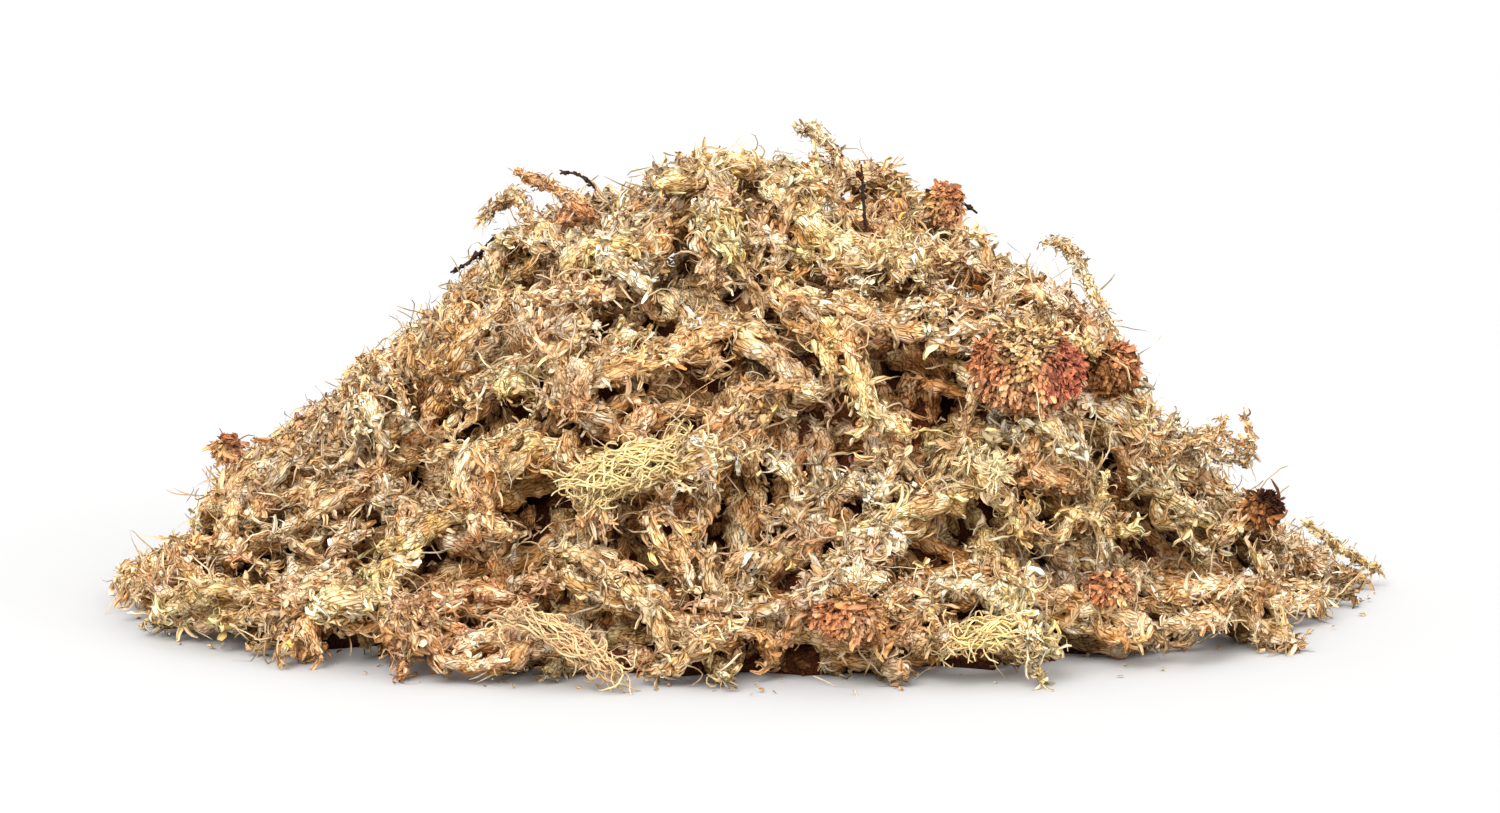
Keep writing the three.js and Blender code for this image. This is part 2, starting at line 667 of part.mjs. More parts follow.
/** A twig: a thin bare stick. */
function twig(surface, { points }) {
  const line = liftedPath(surface, points, 2 * TWIG_RADIUS);
  const curve = new THREE.CatmullRomCurve3(line, false, 'centripetal');
  const count = 2 * points.length;
  const frames = curve.computeFrenetFrames(count, false);
  const rings = [];
  for (let i = 0; i <= count; i += 1) {
    const centre = curve.getPointAt(i / count);
    const ring = [];
    for (let side = 0; side < TWIG_SIDES; side += 1) {
      const angle = (TURN * (side + 0.5 * i)) / TWIG_SIDES;
      const vertex = centre.clone();
      vertex.addScaledVector(frames.normals[i], TWIG_RADIUS * Math.cos(angle));
      vertex.addScaledVector(frames.binormals[i], TWIG_RADIUS * Math.sin(angle));
      ring.push(vertex);
    }
    rings.push(ring);
  }
  return ringedSolid(curve.getPointAt(0), rings, curve.getPointAt(1));
}

/** A head: a low rosette of short leaf tips, turned to face out of the flank that it lies on. */
function head({ radius, height }, draw) {
  const sides = radius < LARGE_HEAD ? HEAD_SIDES : LARGE_HEAD_SIDES;
  const rings = [];
  for (let tier = 1; tier < HEAD_TIERS; tier += 1) {
    const tilt = (Math.PI * tier) / HEAD_TIERS;
    const ring = [];
    for (let side = 0; side < sides; side += 1) {
      const angle = (TURN * (side + 0.5 * tier)) / sides;
      const corner = (side + tier) % 2 === 0 ? HEAD_TIP : HEAD_SKIN;
      const wide = HEAD_WIDTH * radius * Math.sin(tilt) * draw(...corner.reach);
      const high = -height * Math.cos(tilt) * corner.rise;
      ring.push(new THREE.Vector3(wide * Math.cos(angle), wide * Math.sin(angle), high));
    }
    rings.push(ring);
  }
  return ringedSolid(new THREE.Vector3(0, 0, -height), rings, new THREE.Vector3(0, 0, height));
}

/** Turns a solid so that its +Z faces out of the heap, and puts it over its place. */
function faceOut(geometry, x, y) {
  const slope = heartSlope(x, y);
  const outward = new THREE.Vector3(-slope.x, -slope.y, 1).normalize();
  geometry.applyQuaternion(new THREE.Quaternion().setFromUnitVectors(UP, outward));
  geometry.translate(x, y, 0);
  return geometry;
}

/** A nearly straight line through the two ends of a centre line, bowed a little upwards. */
function straighten(line) {
  const last = line.length - 1;
  return line.map((point, i) => {
    const share = i / last;
    const height = line[0].z + (line[last].z - line[0].z) * share + BUNDLE_BOW * Math.sin(Math.PI * share);
    return new THREE.Vector3(point.x, point.y, height);
  });
}

/** A bundle of bare fibres: a fluted body that is pinched in the middle and fans out at its ends. */
function bundle(surface, { x, y, length, turn, width }, draw) {
  const along = new THREE.Vector2(Math.cos(turn), Math.sin(turn));
  const aside = new THREE.Vector3(-along.y, along.x, 0);
  const plan = [];
  for (let k = 0; k < BUNDLE_RINGS; k += 1) {
    const share = (2 * k) / (BUNDLE_RINGS - 1) - 1;
    plan.push(new THREE.Vector2(x, y).addScaledVector(along, 0.5 * length * share));
  }
  const path = straighten(drape(surface, plan, BUNDLE_LAID * width));
  const rings = path.map((centre, k) => {
    const share = (2 * k) / (BUNDLE_RINGS - 1) - 1;
    const spread = 0.5 * width * (BUNDLE_WAIST + (1 - BUNDLE_WAIST) * share * share);
    const ring = [];
    for (let side = 0; side < BUNDLE_SIDES; side += 1) {
      const angle = (TURN * side) / BUNDLE_SIDES;
      const isFibre = side % 2 === 0;
      const reach = spread * (isFibre ? draw(...FIBRE_REACH) : FLUTE_REACH);
      const vertex = centre.clone().addScaledVector(aside, reach * Math.cos(angle));
      vertex.z += BUNDLE_FLATNESS * reach * Math.sin(angle);
      vertex.x += isFibre ? along.x * share * draw(...BUNDLE_FRAY) : 0;
      vertex.y += isFibre ? along.y * share * draw(...BUNDLE_FRAY) : 0;
      ring.push(vertex);
    }
    return ring;
  });
  return ringedSolid(path[0], rings, path[BUNDLE_RINGS - 1]);
}

// ---- the heap ---------------------------------------------------------------------------------------------

/** The whole heap as a group of named meshes, centred on its footprint. */
function mossHeap() {
  const heap = new THREE.Group();
  const surface = new LaidSurface();
  const place = (name, geometry, colour) => {
    const mesh = new THREE.Mesh(geometry, COLOURS[colour]);
    mesh.name = name;
    heap.add(mesh);
  };

  const heartGeometry = toGeometry(heartSolid());
  surface.add(heartGeometry);
  place('heart_tangle', heartGeometry, 'heart');

  const layRow = (row, heads) => {
    rowPlan({ ...row, heads }).forEach((plans, i) => {
      const geometry = surface.lay(toGeometry(bunch(surface, plans, row.seed + LEAF_SEEDS + i)));
      place(`${row.name}_${String(i + 1).padStart(2, '0')}`, geometry, 'straw');
    });
  };
  const layHead = (item) => {
    const geometry = faceOut(toGeometry(head(item, seeded(item.seed))), item.x, item.y);
    place(item.name, surface.lay(geometry), item.colour);
  };
  const largeHeads = HEADS.filter((item) => item.radius >= LARGE_HEAD);
  const smallHeads = HEADS.filter((item) => item.radius < LARGE_HEAD);

  ROWS.slice(0, ROWS_UNDER_HEADS).forEach((row) => layRow(row, []));
  largeHeads.forEach(layHead);
  ROWS.slice(ROWS_UNDER_HEADS).forEach((row) => layRow(row, largeHeads));
  BUNDLES.forEach((item) => {
    place(item.name, surface.lay(toGeometry(bundle(surface, item, seeded(item.seed)))), 'pale');
  });
  smallHeads.forEach(layHead);
  SPRIGS.forEach((item, i) => {
    place(item.name, surface.lay(toGeometry(sprig(surface, item, seeded(SPRIG_SEEDS + i)))), 'straw');
  });
  TWIGS.forEach((item) => {
    place(item.name, surface.lay(toGeometry(twig(surface, item))), 'twig');
  });
  return heap;
}

const heap = mossHeap();
const footprint = new THREE.Box3().setFromObject(heap).getCenter(new THREE.Vector3());
heap.position.set(-footprint.x, -footprint.y, 0);

export default heap;
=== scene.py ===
"""Dresses a clump of dried sphagnum moss: leafy ropes, heads, fibre bundles, sprigs, twigs and loose hairs.

The script works in millimetres and writes its meshes in metres. +Z is up, +X runs along the heap's longest
side and -Y faces forward. The strands of a bunch follow the same seeded plan as the bunch's solid, and take
their heights from that solid.
"""

import logging
import math
from dataclasses import dataclass, field
from enum import Enum
from typing import Any, Callable, Iterable, Sequence

import bmesh
import bpy
import numpy as np
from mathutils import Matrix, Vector
from mathutils.bvhtree import BVHTree
from numpy.random import Generator as Rng
from numpy.random import default_rng


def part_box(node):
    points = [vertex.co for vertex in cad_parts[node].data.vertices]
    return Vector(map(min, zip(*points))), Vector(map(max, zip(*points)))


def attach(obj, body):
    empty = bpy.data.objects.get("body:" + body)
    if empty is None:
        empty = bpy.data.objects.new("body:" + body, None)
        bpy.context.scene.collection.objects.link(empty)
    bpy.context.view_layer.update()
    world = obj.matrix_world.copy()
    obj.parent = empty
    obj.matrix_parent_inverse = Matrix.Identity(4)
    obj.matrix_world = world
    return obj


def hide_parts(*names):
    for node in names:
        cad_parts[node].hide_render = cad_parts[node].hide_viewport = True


Array = np.ndarray
Pair = tuple[float, float]

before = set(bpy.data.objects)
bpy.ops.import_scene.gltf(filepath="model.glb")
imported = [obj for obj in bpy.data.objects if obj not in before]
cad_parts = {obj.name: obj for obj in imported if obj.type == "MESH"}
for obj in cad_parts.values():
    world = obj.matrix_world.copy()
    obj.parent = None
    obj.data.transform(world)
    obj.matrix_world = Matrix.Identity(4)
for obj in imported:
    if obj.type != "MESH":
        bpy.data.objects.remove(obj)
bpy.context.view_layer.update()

LOG = logging.getLogger("moss")
MM = 0.001
TURN = 2.0 * math.pi
GOLDEN = math.pi * (3.0 - math.sqrt(5.0))
UP = np.array([0.0, 0.0, 1.0])
BODY = "root"
SRGB_TOP = 255.0
SRGB_GAMMA = 2.2
TINT_NAME = "Tint"
MAP_NAME = "OFBake"
GRAIN_NAME = "Grain"
GRAIN_STRETCH = 0.27
GRAIN_LEAF = np.array([GRAIN_STRETCH * 4.0, 1.6])
GRAIN_STRIDE = np.array([17.3, 9.1, 5.7])
GRAIN_SPAN = 400.0

# ---- the plan of the heap, as its solids have it ----

HALF_WIDTH = 172.0
HALF_DEPTH = 141.0
HEART_HALF_WIDTH = 148.0
HEART_HALF_DEPTH = 118.0
PLAN_SHIFT = np.array([-1.307, 5.404])  # from the plan's middle to the middle of the footprint
STRAND_CORE = 6.0
STRAND_POINTS = 7
MIDDLE_POINT = (STRAND_POINTS - 1) // 2
CROSSINGS = ((), (3,), (1, 5), (1, 3, 5))
BEND = 0.45
WAVE = 0.2
WAVE_PHASE = 4.0
HALF_LENGTH = (0.46, 0.54)
BRANCH_LENGTH = 0.72
BRANCH_SHAKE = 0.2
BUNCH_SHAKE = 0.22
RING_SPREAD = (0.93, 1.05)
HEAD_ROOM = 1.3


@dataclass(frozen=True)
class BunchRow:
    """A row of bunches round the heap, as its solids are laid out."""

    name: str
    count: int
    ring: float
    limit: float
    length: float
    branches: int
    along: float
    seed: int
    keeps_off_head: bool


ROWS = (
    BunchRow("foot_tuft", 13, 0.88, 0.96, 88.0, 1, 0.75, 33343, False),
    BunchRow("lower_tuft", 10, 0.71, 0.86, 84.0, 3, 0.5, 27012, False),
    BunchRow("upper_tuft", 8, 0.48, 0.68, 80.0, 2, 0.5, 6285, True),
    BunchRow("crown_tuft", 5, 0.24, 0.42, 70.0, 2, 0.5, 57336, True),
)
LARGE_HEAD_PLACE = np.array([71.5, -89.0])
LARGE_HEAD_RADIUS = 16.0

VIEW_PITCH = math.radians(8.0)
VIEW_DISTANCE = 1250.0
VIEW_AIM = 52.0
SKYLINE = np.array(  # the heap's outline, by places to the right and upwards as its front shows them
    [
        (-172, 8), (-150, 21), (-137, 42), (-94, 71), (-73, 97), (-50, 110), (-8, 122), (37, 120), (47, 111),
        (58, 106), (66, 96), (80, 86), (90, 78), (98, 70), (104, 54), (109, 48), (121, 36), (132, 28),
        (146, 18), (176, 3),
    ],
    dtype=float,
)
SKYLINE_GAP = 4.0
SAG = 0.95


class Tint(Enum):
    """The colours of dried moss, as sRGB out of 255."""

    STRAW = (226, 189, 139)
    CREAM = (231, 208, 171)
    YELLOW = (225, 198, 138)
    TAN = (222, 171, 117)
    SALMON = (226, 166, 120)
    TAUPE = (204, 164, 120)
    BROWN = (160, 108, 66)
    RUST = (214, 142, 98)
    RED = (208, 122, 92)
    UMBER = (84, 44, 18)
    BARK = (50, 38, 30)
    GREY = (128, 118, 108)

    def linear(self) -> Array:
        """The colour as linear RGB out of 1."""
        return (np.array(self.value) / SRGB_TOP) ** SRGB_GAMMA


class Draws:
    """A stream of repeatable draws, the same one that lays out the solids."""

    MASK = 0xFFFFFFFF
    STEP = 0x6D2B79F5

    def __init__(self, seed: int) -> None:
        """Starts the stream.

        Args:
            seed: number that the stream starts from.
        """
        self.state = seed & self.MASK

    def __call__(self, low: float = 0.0, high: float = 1.0) -> float:
        """The next draw.

        Args:
            low: lowest value.
            high: highest value.

        Returns:
            A value between the two.
        """
        self.state = (self.state + self.STEP) & self.MASK
        mix = self.state
        mix = ((mix ^ (mix >> 15)) * (mix | 1)) & self.MASK
        mix ^= (mix + (((mix ^ (mix >> 7)) * (mix | 61)) & self.MASK)) & self.MASK
        return low + (high - low) * (((mix ^ (mix >> 14)) & self.MASK) / (self.MASK + 1))


def unit(vectors: Array) -> Array:
    """The vectors, each of length 1."""
    return vectors / np.maximum(np.linalg.norm(vectors, axis=-1, keepdims=True), 1e-9)


def smooth(values: Array, reach: int) -> Array:
    """Values along a line, each evened out with its neighbours.

    Args:
        values: one value or row for each point.
        reach: how many neighbours on each side count.

    Returns:
        The evened values.
    """
    kernel = np.hanning(2 * reach + 3)[1:-1]
    kernel /= kernel.sum()
    padded = np.concatenate([np.repeat(values[:1], reach, 0), values, np.repeat(values[-1:], reach, 0)])
    if values.ndim == 1:
        return np.convolve(padded, kernel, "valid")
    return np.stack([np.convolve(column, kernel, "valid") for column in padded.T], 1)


# ---- courses: centre lines with frames ----


class Course:
    """A centre line in space, with a frame at each of its points."""

    def __init__(self, points: Array) -> None:
        """Reads the line's lengths and frames.

        Args:
            points: the line's points, one row each, in millimetres.
        """
        self.points = points
        steps = np.linalg.norm(np.diff(points, axis=0), axis=1)
        self.distance = np.concatenate([[0.0], np.cumsum(steps)])
        self.tangents = unit(np.gradient(points, axis=0))
        self.normals = self._carried_normals()
        self.binormals = np.cross(self.tangents, self.normals)

    @property
    def length(self) -> float:
        """Length of the line."""
        return float(self.distance[-1])

    def _carried_normals(self) -> Array:
        """Carries a normal along the line without a twist.

        Returns:
            One normal for each point.
        """
        start = UP if abs(self.tangents[0][2]) < 0.9 else np.array([1.0, 0.0, 0.0])
        normal = unit(start - self.tangents[0] * float(start @ self.tangents[0]))
        normals = []
        for tangent in self.tangents:
            normal = unit(normal - tangent * float(normal @ tangent))
            normals.append(normal)
        return np.array(normals)

    def _sampled(self, rows: Array, distance: Array) -> Array:
        """Rows of the line's points, read off at any distance along it."""
        return np.stack([np.interp(distance, self.distance, column) for column in rows.T], -1)

    def resampled(self, step: float) -> "Course":
        """The same line with points at an even spacing.

        Args:
            step: the spacing.

        Returns:
            The new course.
        """
        count = max(4, int(self.length / step))
        return Course(self._sampled(self.points, np.linspace(0.0, self.length, count)))

    def at(self, distance: Array, angle: Array) -> tuple[Array, Array, Array]:
        """Reads the line's frame.

        Args:
            distance: distances along the line.
            angle: angles round it, one for each distance.

        Returns:
            Centres, tangents and outward directions.
        """
        tangents = unit(self._sampled(self.tangents, distance))
        normals = self._sampled(self.normals, distance)
        binormals = self._sampled(self.binormals, distance)
        outward = normals * np.cos(angle)[:, None] + binormals * np.sin(angle)[:, None]
        return self._sampled(self.points, distance), tangents, unit(outward)

    def twisted(self, offset: float, phase: float, pitch: float, part: float) -> "Course":
        """A course that winds round this one.

        Args:
            offset: distance between the two lines.
            phase: angle at which it starts.
            pitch: length of one full turn.
            part: how far its ends part from this line, in offsets.

        Returns:
            The winding course.
        """
        share = self.distance / max(self.length, 1e-6)
        away = offset * (1.0 + part * np.abs(2.0 * share - 1.0) ** 3)
        angle = phase + TURN * self.distance / pitch
        aside = self.normals * np.cos(angle)[:, None] + self.binormals * np.sin(angle)[:, None]
        return Course(self.points + aside * away[:, None])


def through(points: Array, step: float) -> Array:
    """A smooth line through a few points.

    Args:
        points: the points, one row each.
        step: spacing of the line's own points.

    Returns:
        The line's points.
    """
    ends = np.concatenate([2 * points[:1] - points[1:2], points, 2 * points[-1:] - points[-2:-1]])
    line = []
    for i in range(1, len(ends) - 2):
        before, start, end, after = ends[i - 1 : i + 3]
        count = max(2, int(np.linalg.norm(end - start) / step))
        t = np.linspace(0.0, 1.0, count, endpoint=False)[:, None]
        square = (2 * before - 5 * start + 4 * end - after) * t**2
        cube = (3 * start - before - 3 * end + after) * t**3
        line.append(0.5 * (2 * start + (end - before) * t + square + cube))
    return np.concatenate([*line, points[-1:]])


# ---- the solids that the moss lies on ----


class Solid:
    """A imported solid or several, whose surface can be felt from above and below."""

    ABOVE = 400.0
    BELOW = -50.0

    def __init__(self, names: Iterable[str]) -> None:
        """Takes the nodes' surfaces.

        Args:
            names: the nodes that count.
        """
        points: list[Vector] = []
        faces: list[list[int]] = []
        for name in names:
            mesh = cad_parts[name].data
            base = len(points)
            points += [vertex.co / MM for vertex in mesh.vertices]
            faces += [[base + corner for corner in face.vertices] for face in mesh.polygons]
        self.tree = BVHTree.FromPolygons(points, faces)
        self.points = np.array([tuple(point) for point in points])

    def _hits(self, plan: Array, start: float, way: float) -> Array:
        """Feels for the surface along vertical rays.

        Args:
            plan: places of the rays.
            start: height at which they start.
            way: 1 upwards or -1 downwards.

        Returns:
            Heights where they first meet the surface, and NaN where they miss it.
        """
        heights = []
        for x, y in plan:
            hit = self.tree.ray_cast(Vector((x, y, start)), Vector((0.0, 0.0, way)))[0]
            heights.append(hit.z if hit else math.nan)
        return np.array(heights)

    def tops(self, plan: Array) -> Array:
        """Highest point of the surface over each place."""
        return self._hits(plan, self.ABOVE, -1.0)

    def middles(self, plan: Array) -> Array:
        """Height halfway between the surface's lowest and highest point over each place."""
        return 0.5 * (self.tops(plan) + self._hits(plan, self.BELOW, 1.0))

    def course(self, plan: Array) -> Array:
        """A line that runs inside the solid over a line in plan.

        Args:
            plan: places of the line's points.

        Returns:
            The line's points in space.
        """
        heights = filled(self.middles(plan))
        return np.column_stack([plan, smooth(heights, 3)])

    def spine(self, first: Array, last: Array, count: int) -> Array:
        """The middle line of a thin solid that runs from one place in plan to another.

        Args:
            first: place where it starts.
            last: place where it ends.
            count: number of points on the line.

        Returns:
            The line's points in space.
        """
        way = (last - first) / np.linalg.norm(last - first)
        reach = (self.points[:, :2] - first) @ way
        stations = np.linspace(reach.min(), reach.max(), count)
        width = 1.2 * (reach.max() - reach.min()) / count
        weights = np.exp(-(((reach[None, :] - stations[:, None]) / width) ** 2)) + 1e-12
        weights /= weights.sum(1, keepdims=True)
        return weights @ self.points


def box_corners(node: str) -> tuple[Array, Array]:
    """The lowest and highest corner of a solid's box."""
    low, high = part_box(node)
    return np.array(low) / MM, np.array(high) / MM


def filled(heights: Array) -> Array:
    """Bridges the gaps in a row of heights.

    Args:
        heights: the heights, NaN in the gaps.

    Returns:
        The heights without gaps.
    """
    known = ~np.isnan(heights)
    if not known.any():
        return np.full(len(heights), STRAND_CORE)
    index = np.arange(len(heights))
    return np.interp(index, index[known], heights[known])


# ---- meshes ----


class MossMesh:
    """Triangles of one piece, with a tint for each point and a cell of the piece's map for each item."""

    CELL_MARGIN = 0.12

    def __init__(self) -> None:
        """Starts with nothing."""
        self.points: list[Array] = []
        self.tints: list[Array] = []
        self.grains: list[Array] = []
        self.faces: list[Array] = []
        self.spots: list[Array] = []
        self.items: list[Array] = []
        self.point_count = 0
        self.item_count = 0

    def add(
        self, points: Array, tints: Array, faces: Array, spots: Array, grains: Array | None = None
    ) -> None:
        """Adds items that are alike in their triangles.

        Args:
            points: places, by item and point, in millimetres.
            tints: linear colours, likewise.
            faces: point numbers of one item's triangles.
            spots: places of one item's points on its own cell of the map, out of 1.
            grains: places in the pattern of wrinkles, by item and point, where they aren't a leaf's.
        """
        items, count = points.shape[:2]
        bases = count * np.arange(items)
        corners = np.broadcast_to(spots[faces], (items, *faces.shape, 2)).reshape(-1, 3, 2)
        numbers = (bases[:, None, None] + faces[None]).reshape(-1, 3)
        owners = np.repeat(np.arange(items), len(faces))
        if grains is None:
            across, along = spots[:, 0] * GRAIN_LEAF[1], spots[:, 1] * GRAIN_LEAF[0]
            leaf = np.column_stack([along, across, np.zeros(count)])
            grains = leaf[None] + self._grain_starts(items)[:, None]
        points, tints, grains = (rows.reshape(-1, 3) for rows in (points, tints, grains))
        self.add_loose(points, tints, grains, numbers, corners, owners)

    def _grain_starts(self, items: int) -> Array:
        """Where the next items start in the pattern of wrinkles."""
        return ((self.item_count + np.arange(items))[:, None] * GRAIN_STRIDE) % GRAIN_SPAN

    def add_loose(
        self, points: Array, tints: Array, grains: Array, faces: Array, corners: Array, owners: Array
    ) -> None:
        """Adds triangles of any kind.

        Args:
            points: places, in millimetres.
            tints: linear colours, one for each point.
            grains: places in the pattern of wrinkles, one for each point.
            faces: point numbers of the triangles.
            corners: places of the triangles' corners on their item's cell of the map.
            owners: number of each triangle's item.
        """
        if not len(faces):
            return
        self.points.append(points)
        self.tints.append(tints)
        self.grains.append(grains)
        self.faces.append(self.point_count + faces)
        self.spots.append(corners)
        self.items.append(self.item_count + owners)
        self.point_count += len(points)
        self.item_count += int(owners.max()) + 1

    def add_tube(self, course: Course, radii: Array, tints: Array, is_seen: Array | None = None) -> None:
        """Adds a tube round a course, closed to a point at both ends.

        Args:
            course: its centre line.
            radii: by point of the line and by side.
            tints: linear colours, by point of the line and by side.
            is_seen: which places of its skin show, likewise; the others are left open.
        """
        rings, sides = radii.shape
        points = tube_points(course, radii)
        side = np.arange(sides)
        after = (side + 1) % sides
        lower = np.stack([side, after, side + sides], 1)
        upper = np.stack([after, after + sides, side + sides], 1)
        bases = sides * np.arange(rings - 1)
        faces = (bases[:, None, None] + np.concatenate([lower, upper])[None]).reshape(-1, 3)
        corners = np.stack([side / sides, np.zeros(sides)], 1)
        right = corners + [1.0 / sides, 0.0]
        up = np.array([0.0, 1.0])
        halves = ([corners, right, corners + up], [right, right + up, corners + up])
        spots = np.concatenate([np.stack(half, 1) for half in halves])
        owners = np.repeat(np.arange(rings - 1), 2 * sides)
        start, last, top = sides * rings, sides * rings + 1, sides * (rings - 1)
        caps = [np.stack([after, side, np.full(sides, start)], 1)]
        caps.append(np.stack([top + side, top + after, np.full(sides, last)], 1))
        cap_spots = np.stack([corners, right, np.tile([0.5, 1.0], (sides, 1))], 1)
        faces = np.concatenate([faces, *caps])
        spots = np.concatenate([np.tile(spots, (rings - 1, 1, 1)), cap_spots, cap_spots])
        owners = np.concatenate([owners, np.full(sides, rings - 1), np.full(sides, rings)])
        angles = TURN * side / sides
        along = np.repeat(GRAIN_STRETCH * course.distance[:, None], sides, 1)
        grains = np.stack([along, radii * np.cos(angles), radii * np.sin(angles)], 2) + self._grain_starts(1)
        points = np.concatenate([points.reshape(-1, 3), course.points[:1], course.points[-1:]])
        tints = np.concatenate([tints.reshape(-1, 3), tints[0, :1], tints[-1, :1]])
        grains = np.concatenate([grains.reshape(-1, 3), grains[0, :1], grains[-1, :1]])
        if is_seen is not None:
            ends = [is_seen[end].any(keepdims=True) for end in (0, -1)]
            shows = np.concatenate([is_seen.ravel(), *ends])
            kept = shows[faces].any(1)
            faces, spots, owners = faces[kept], spots[kept], owners[kept]
            used, numbers = np.unique(faces, return_inverse=True)
            points, tints, grains, faces = points[used], tints[used], grains[used], numbers.reshape(-1, 3)
            owners = np.unique(owners, return_inverse=True)[1]
        self.add_loose(points, tints, grains, faces, spots, owners)

    def object(self, name: str, material: bpy.types.Material) -> bpy.types.Object:
        """Makes the piece's object.

        Args:
            name: the object's name.
            material: what it wears.

        Returns:
            The object, linked to the scene.
        """
        points = np.concatenate(self.points).astype(np.float32) * MM
        points[:, 2] = np.maximum(points[:, 2], 0.0)
        faces = np.concatenate(self.faces).astype(np.int32)
        tints = np.concatenate(self.tints).clip(0.0, 1.0)
        mesh = bpy.data.meshes.new(name)
        mesh.vertices.add(len(points))
        mesh.vertices.foreach_set("co", points.ravel())
        mesh.loops.add(faces.size)
        mesh.loops.foreach_set("vertex_index", faces.ravel())
        mesh.polygons.add(len(faces))
        mesh.polygons.foreach_set("loop_start", np.arange(0, faces.size, 3, dtype=np.int32))
        mesh.polygons.foreach_set("use_smooth", np.ones(len(faces), dtype=bool))
        mesh.update(calc_edges=True)
        layer = mesh.color_attributes.new(TINT_NAME, "FLOAT_COLOR", "POINT")
        rgba = np.column_stack([tints, np.ones(len(tints))]).astype(np.float32)
        layer.data.foreach_set("color", rgba.ravel())
        grains = (np.concatenate(self.grains) * MM).astype(np.float32)
        mesh.attributes.new(GRAIN_NAME, "FLOAT_VECTOR", "POINT").data.foreach_set("vector", grains.ravel())
        self._write_map(mesh)
        mesh.materials.append(material)
        return linked(name, mesh)

    def _write_map(self, mesh: bpy.types.Mesh) -> None:
        """Gives each item a cell of its own on the piece's map.

        Args:
            mesh: takes the map.
        """
        columns = max(1, math.ceil(math.sqrt(self.item_count)))
        items = np.concatenate(self.items)
        corner = np.stack([items % columns, items // columns], 1)[:, None, :]
        size = 1.0 - 2.0 * self.CELL_MARGIN
        spots = (corner + self.CELL_MARGIN + size * np.concatenate(self.spots)) / columns
        layer = mesh.uv_layers.new(name=MAP_NAME)
        layer.uv.foreach_set("vector", spots.astype(np.float32).ravel())


def linked(name: str, data: bpy.types.ID) -> bpy.types.Object:
    """Makes an object.

    Args:
        name: its name.
        data: what it shows.

    Returns:
        The object, linked to the scene.
    """
    made = bpy.data.objects.new(name, data)
    bpy.context.scene.collection.objects.link(made)
    return made


def tube_points(course: Course, radii: Array) -> Array:
    """Points of a tube's skin, by point of its line and by side.

    Args:
        course: the tube's centre line.
        radii: its radii, likewise.

    Returns:
        The points.
    """
    angles = TURN * np.arange(radii.shape[1]) / radii.shape[1]
    outward = course.normals[:, None] * np.cos(angles)[None, :, None]
    outward = outward + course.binormals[:, None] * np.sin(angles)[None, :, None]
    return course.points[:, None] + outward * radii[..., None]


# ---- flakes and curls ----

FLAKE_FACES = np.array([[0, 1, 5], [1, 2, 5], [2, 3, 5], [3, 4, 5], [4, 0, 5]])
FLAKE_SPOTS = np.array([[0.5, 0.0], [0.0, 0.5], [0.25, 1.0], [0.75, 1.0], [1.0, 0.5], [0.5, 0.55]])
FLAKE_SHADES = np.array([0.55, 0.85, 1.0, 1.0, 0.85, 1.05])
FLAKE_LEAN = (0.12, 0.3)
FLAKE_ROLL = 0.5
FLAKE_WIDTH = (0.22, 0.42)
FLAKE_BELLY = (0.3, 0.65)
FLAKE_DROOP = (-0.35, 0.2)
FLAKE_CUP = (0.35, 1.1)
FLAKE_WARP = (-0.4, 0.4)
FLAKE_BLUNT = (0.3, 0.75)


@dataclass
class Sprouts:
    """Places where small parts grow, all arrays by item: feet, ways and outward directions."""

    feet: Array
    ways: Array
    outward: Array
    tints: Array

    def __len__(self) -> int:
        """Number of sprouts."""
        return len(self.feet)

    def kept(self, is_kept: Array) -> "Sprouts":
        """The sprouts that a mask keeps."""
        return Sprouts(self.feet[is_kept], self.ways[is_kept], self.outward[is_kept], self.tints[is_kept])

    def leaning(self, lean: Array) -> tuple[Array, Array]:
        """Directions of parts that lean out.

        Args:
            lean: angles between the way and the part.

        Returns:
            Directions of the parts, and the normals on top of them.
        """
        cosine, sine = np.cos(lean)[:, None], np.sin(lean)[:, None]
        return self.ways * cosine + self.outward * sine, self.outward * cosine - self.ways * sine


def add_flakes(mesh: MossMesh, sprouts: Sprouts, length: Pair, rng: Rng, size: float = 1.0) -> None:
    """Adds small leaves, each cupped over its own middle, one for each sprout.

    Args:
        mesh: takes the leaves.
        sprouts: where they grow.
        length: least and most length.
        rng: draws their sizes and leans.
        size: factor on their size.
    """
    count = len(sprouts)
    way, top = sprouts.leaning(rng.normal(*FLAKE_LEAN, count))
    roll = rng.normal(0.0, FLAKE_ROLL, count)[:, None]
    aside = unit(np.cross(way, top))
    aside, top = aside * np.cos(roll) + top * np.sin(roll), top * np.cos(roll) - aside * np.sin(roll)
    long = size * rng.uniform(*length, count)[:, None]
    half = long * rng.uniform(*FLAKE_WIDTH, count)[:, None]
    belly = rng.uniform(*FLAKE_BELLY, count)[:, None]
    tip = sprouts.feet + long * (way + top * rng.uniform(*FLAKE_DROOP, count)[:, None])
    middle = sprouts.feet + long * belly * way
    rise = half * rng.uniform(*FLAKE_CUP, count)[:, None]
    left = middle - aside * half + top * half * rng.uniform(*FLAKE_WARP, count)[:, None]
    right = middle + aside * half + top * half * rng.uniform(*FLAKE_WARP, count)[:, None]
    blunt = aside * half * rng.uniform(*FLAKE_BLUNT, count)[:, None]
    points = np.stack([sprouts.feet, left, tip - blunt, tip + blunt, right, middle + top * rise], 1)
    mesh.add(points, sprouts.tints[:, None] * FLAKE_SHADES[None, :, None], FLAKE_FACES, FLAKE_SPOTS)


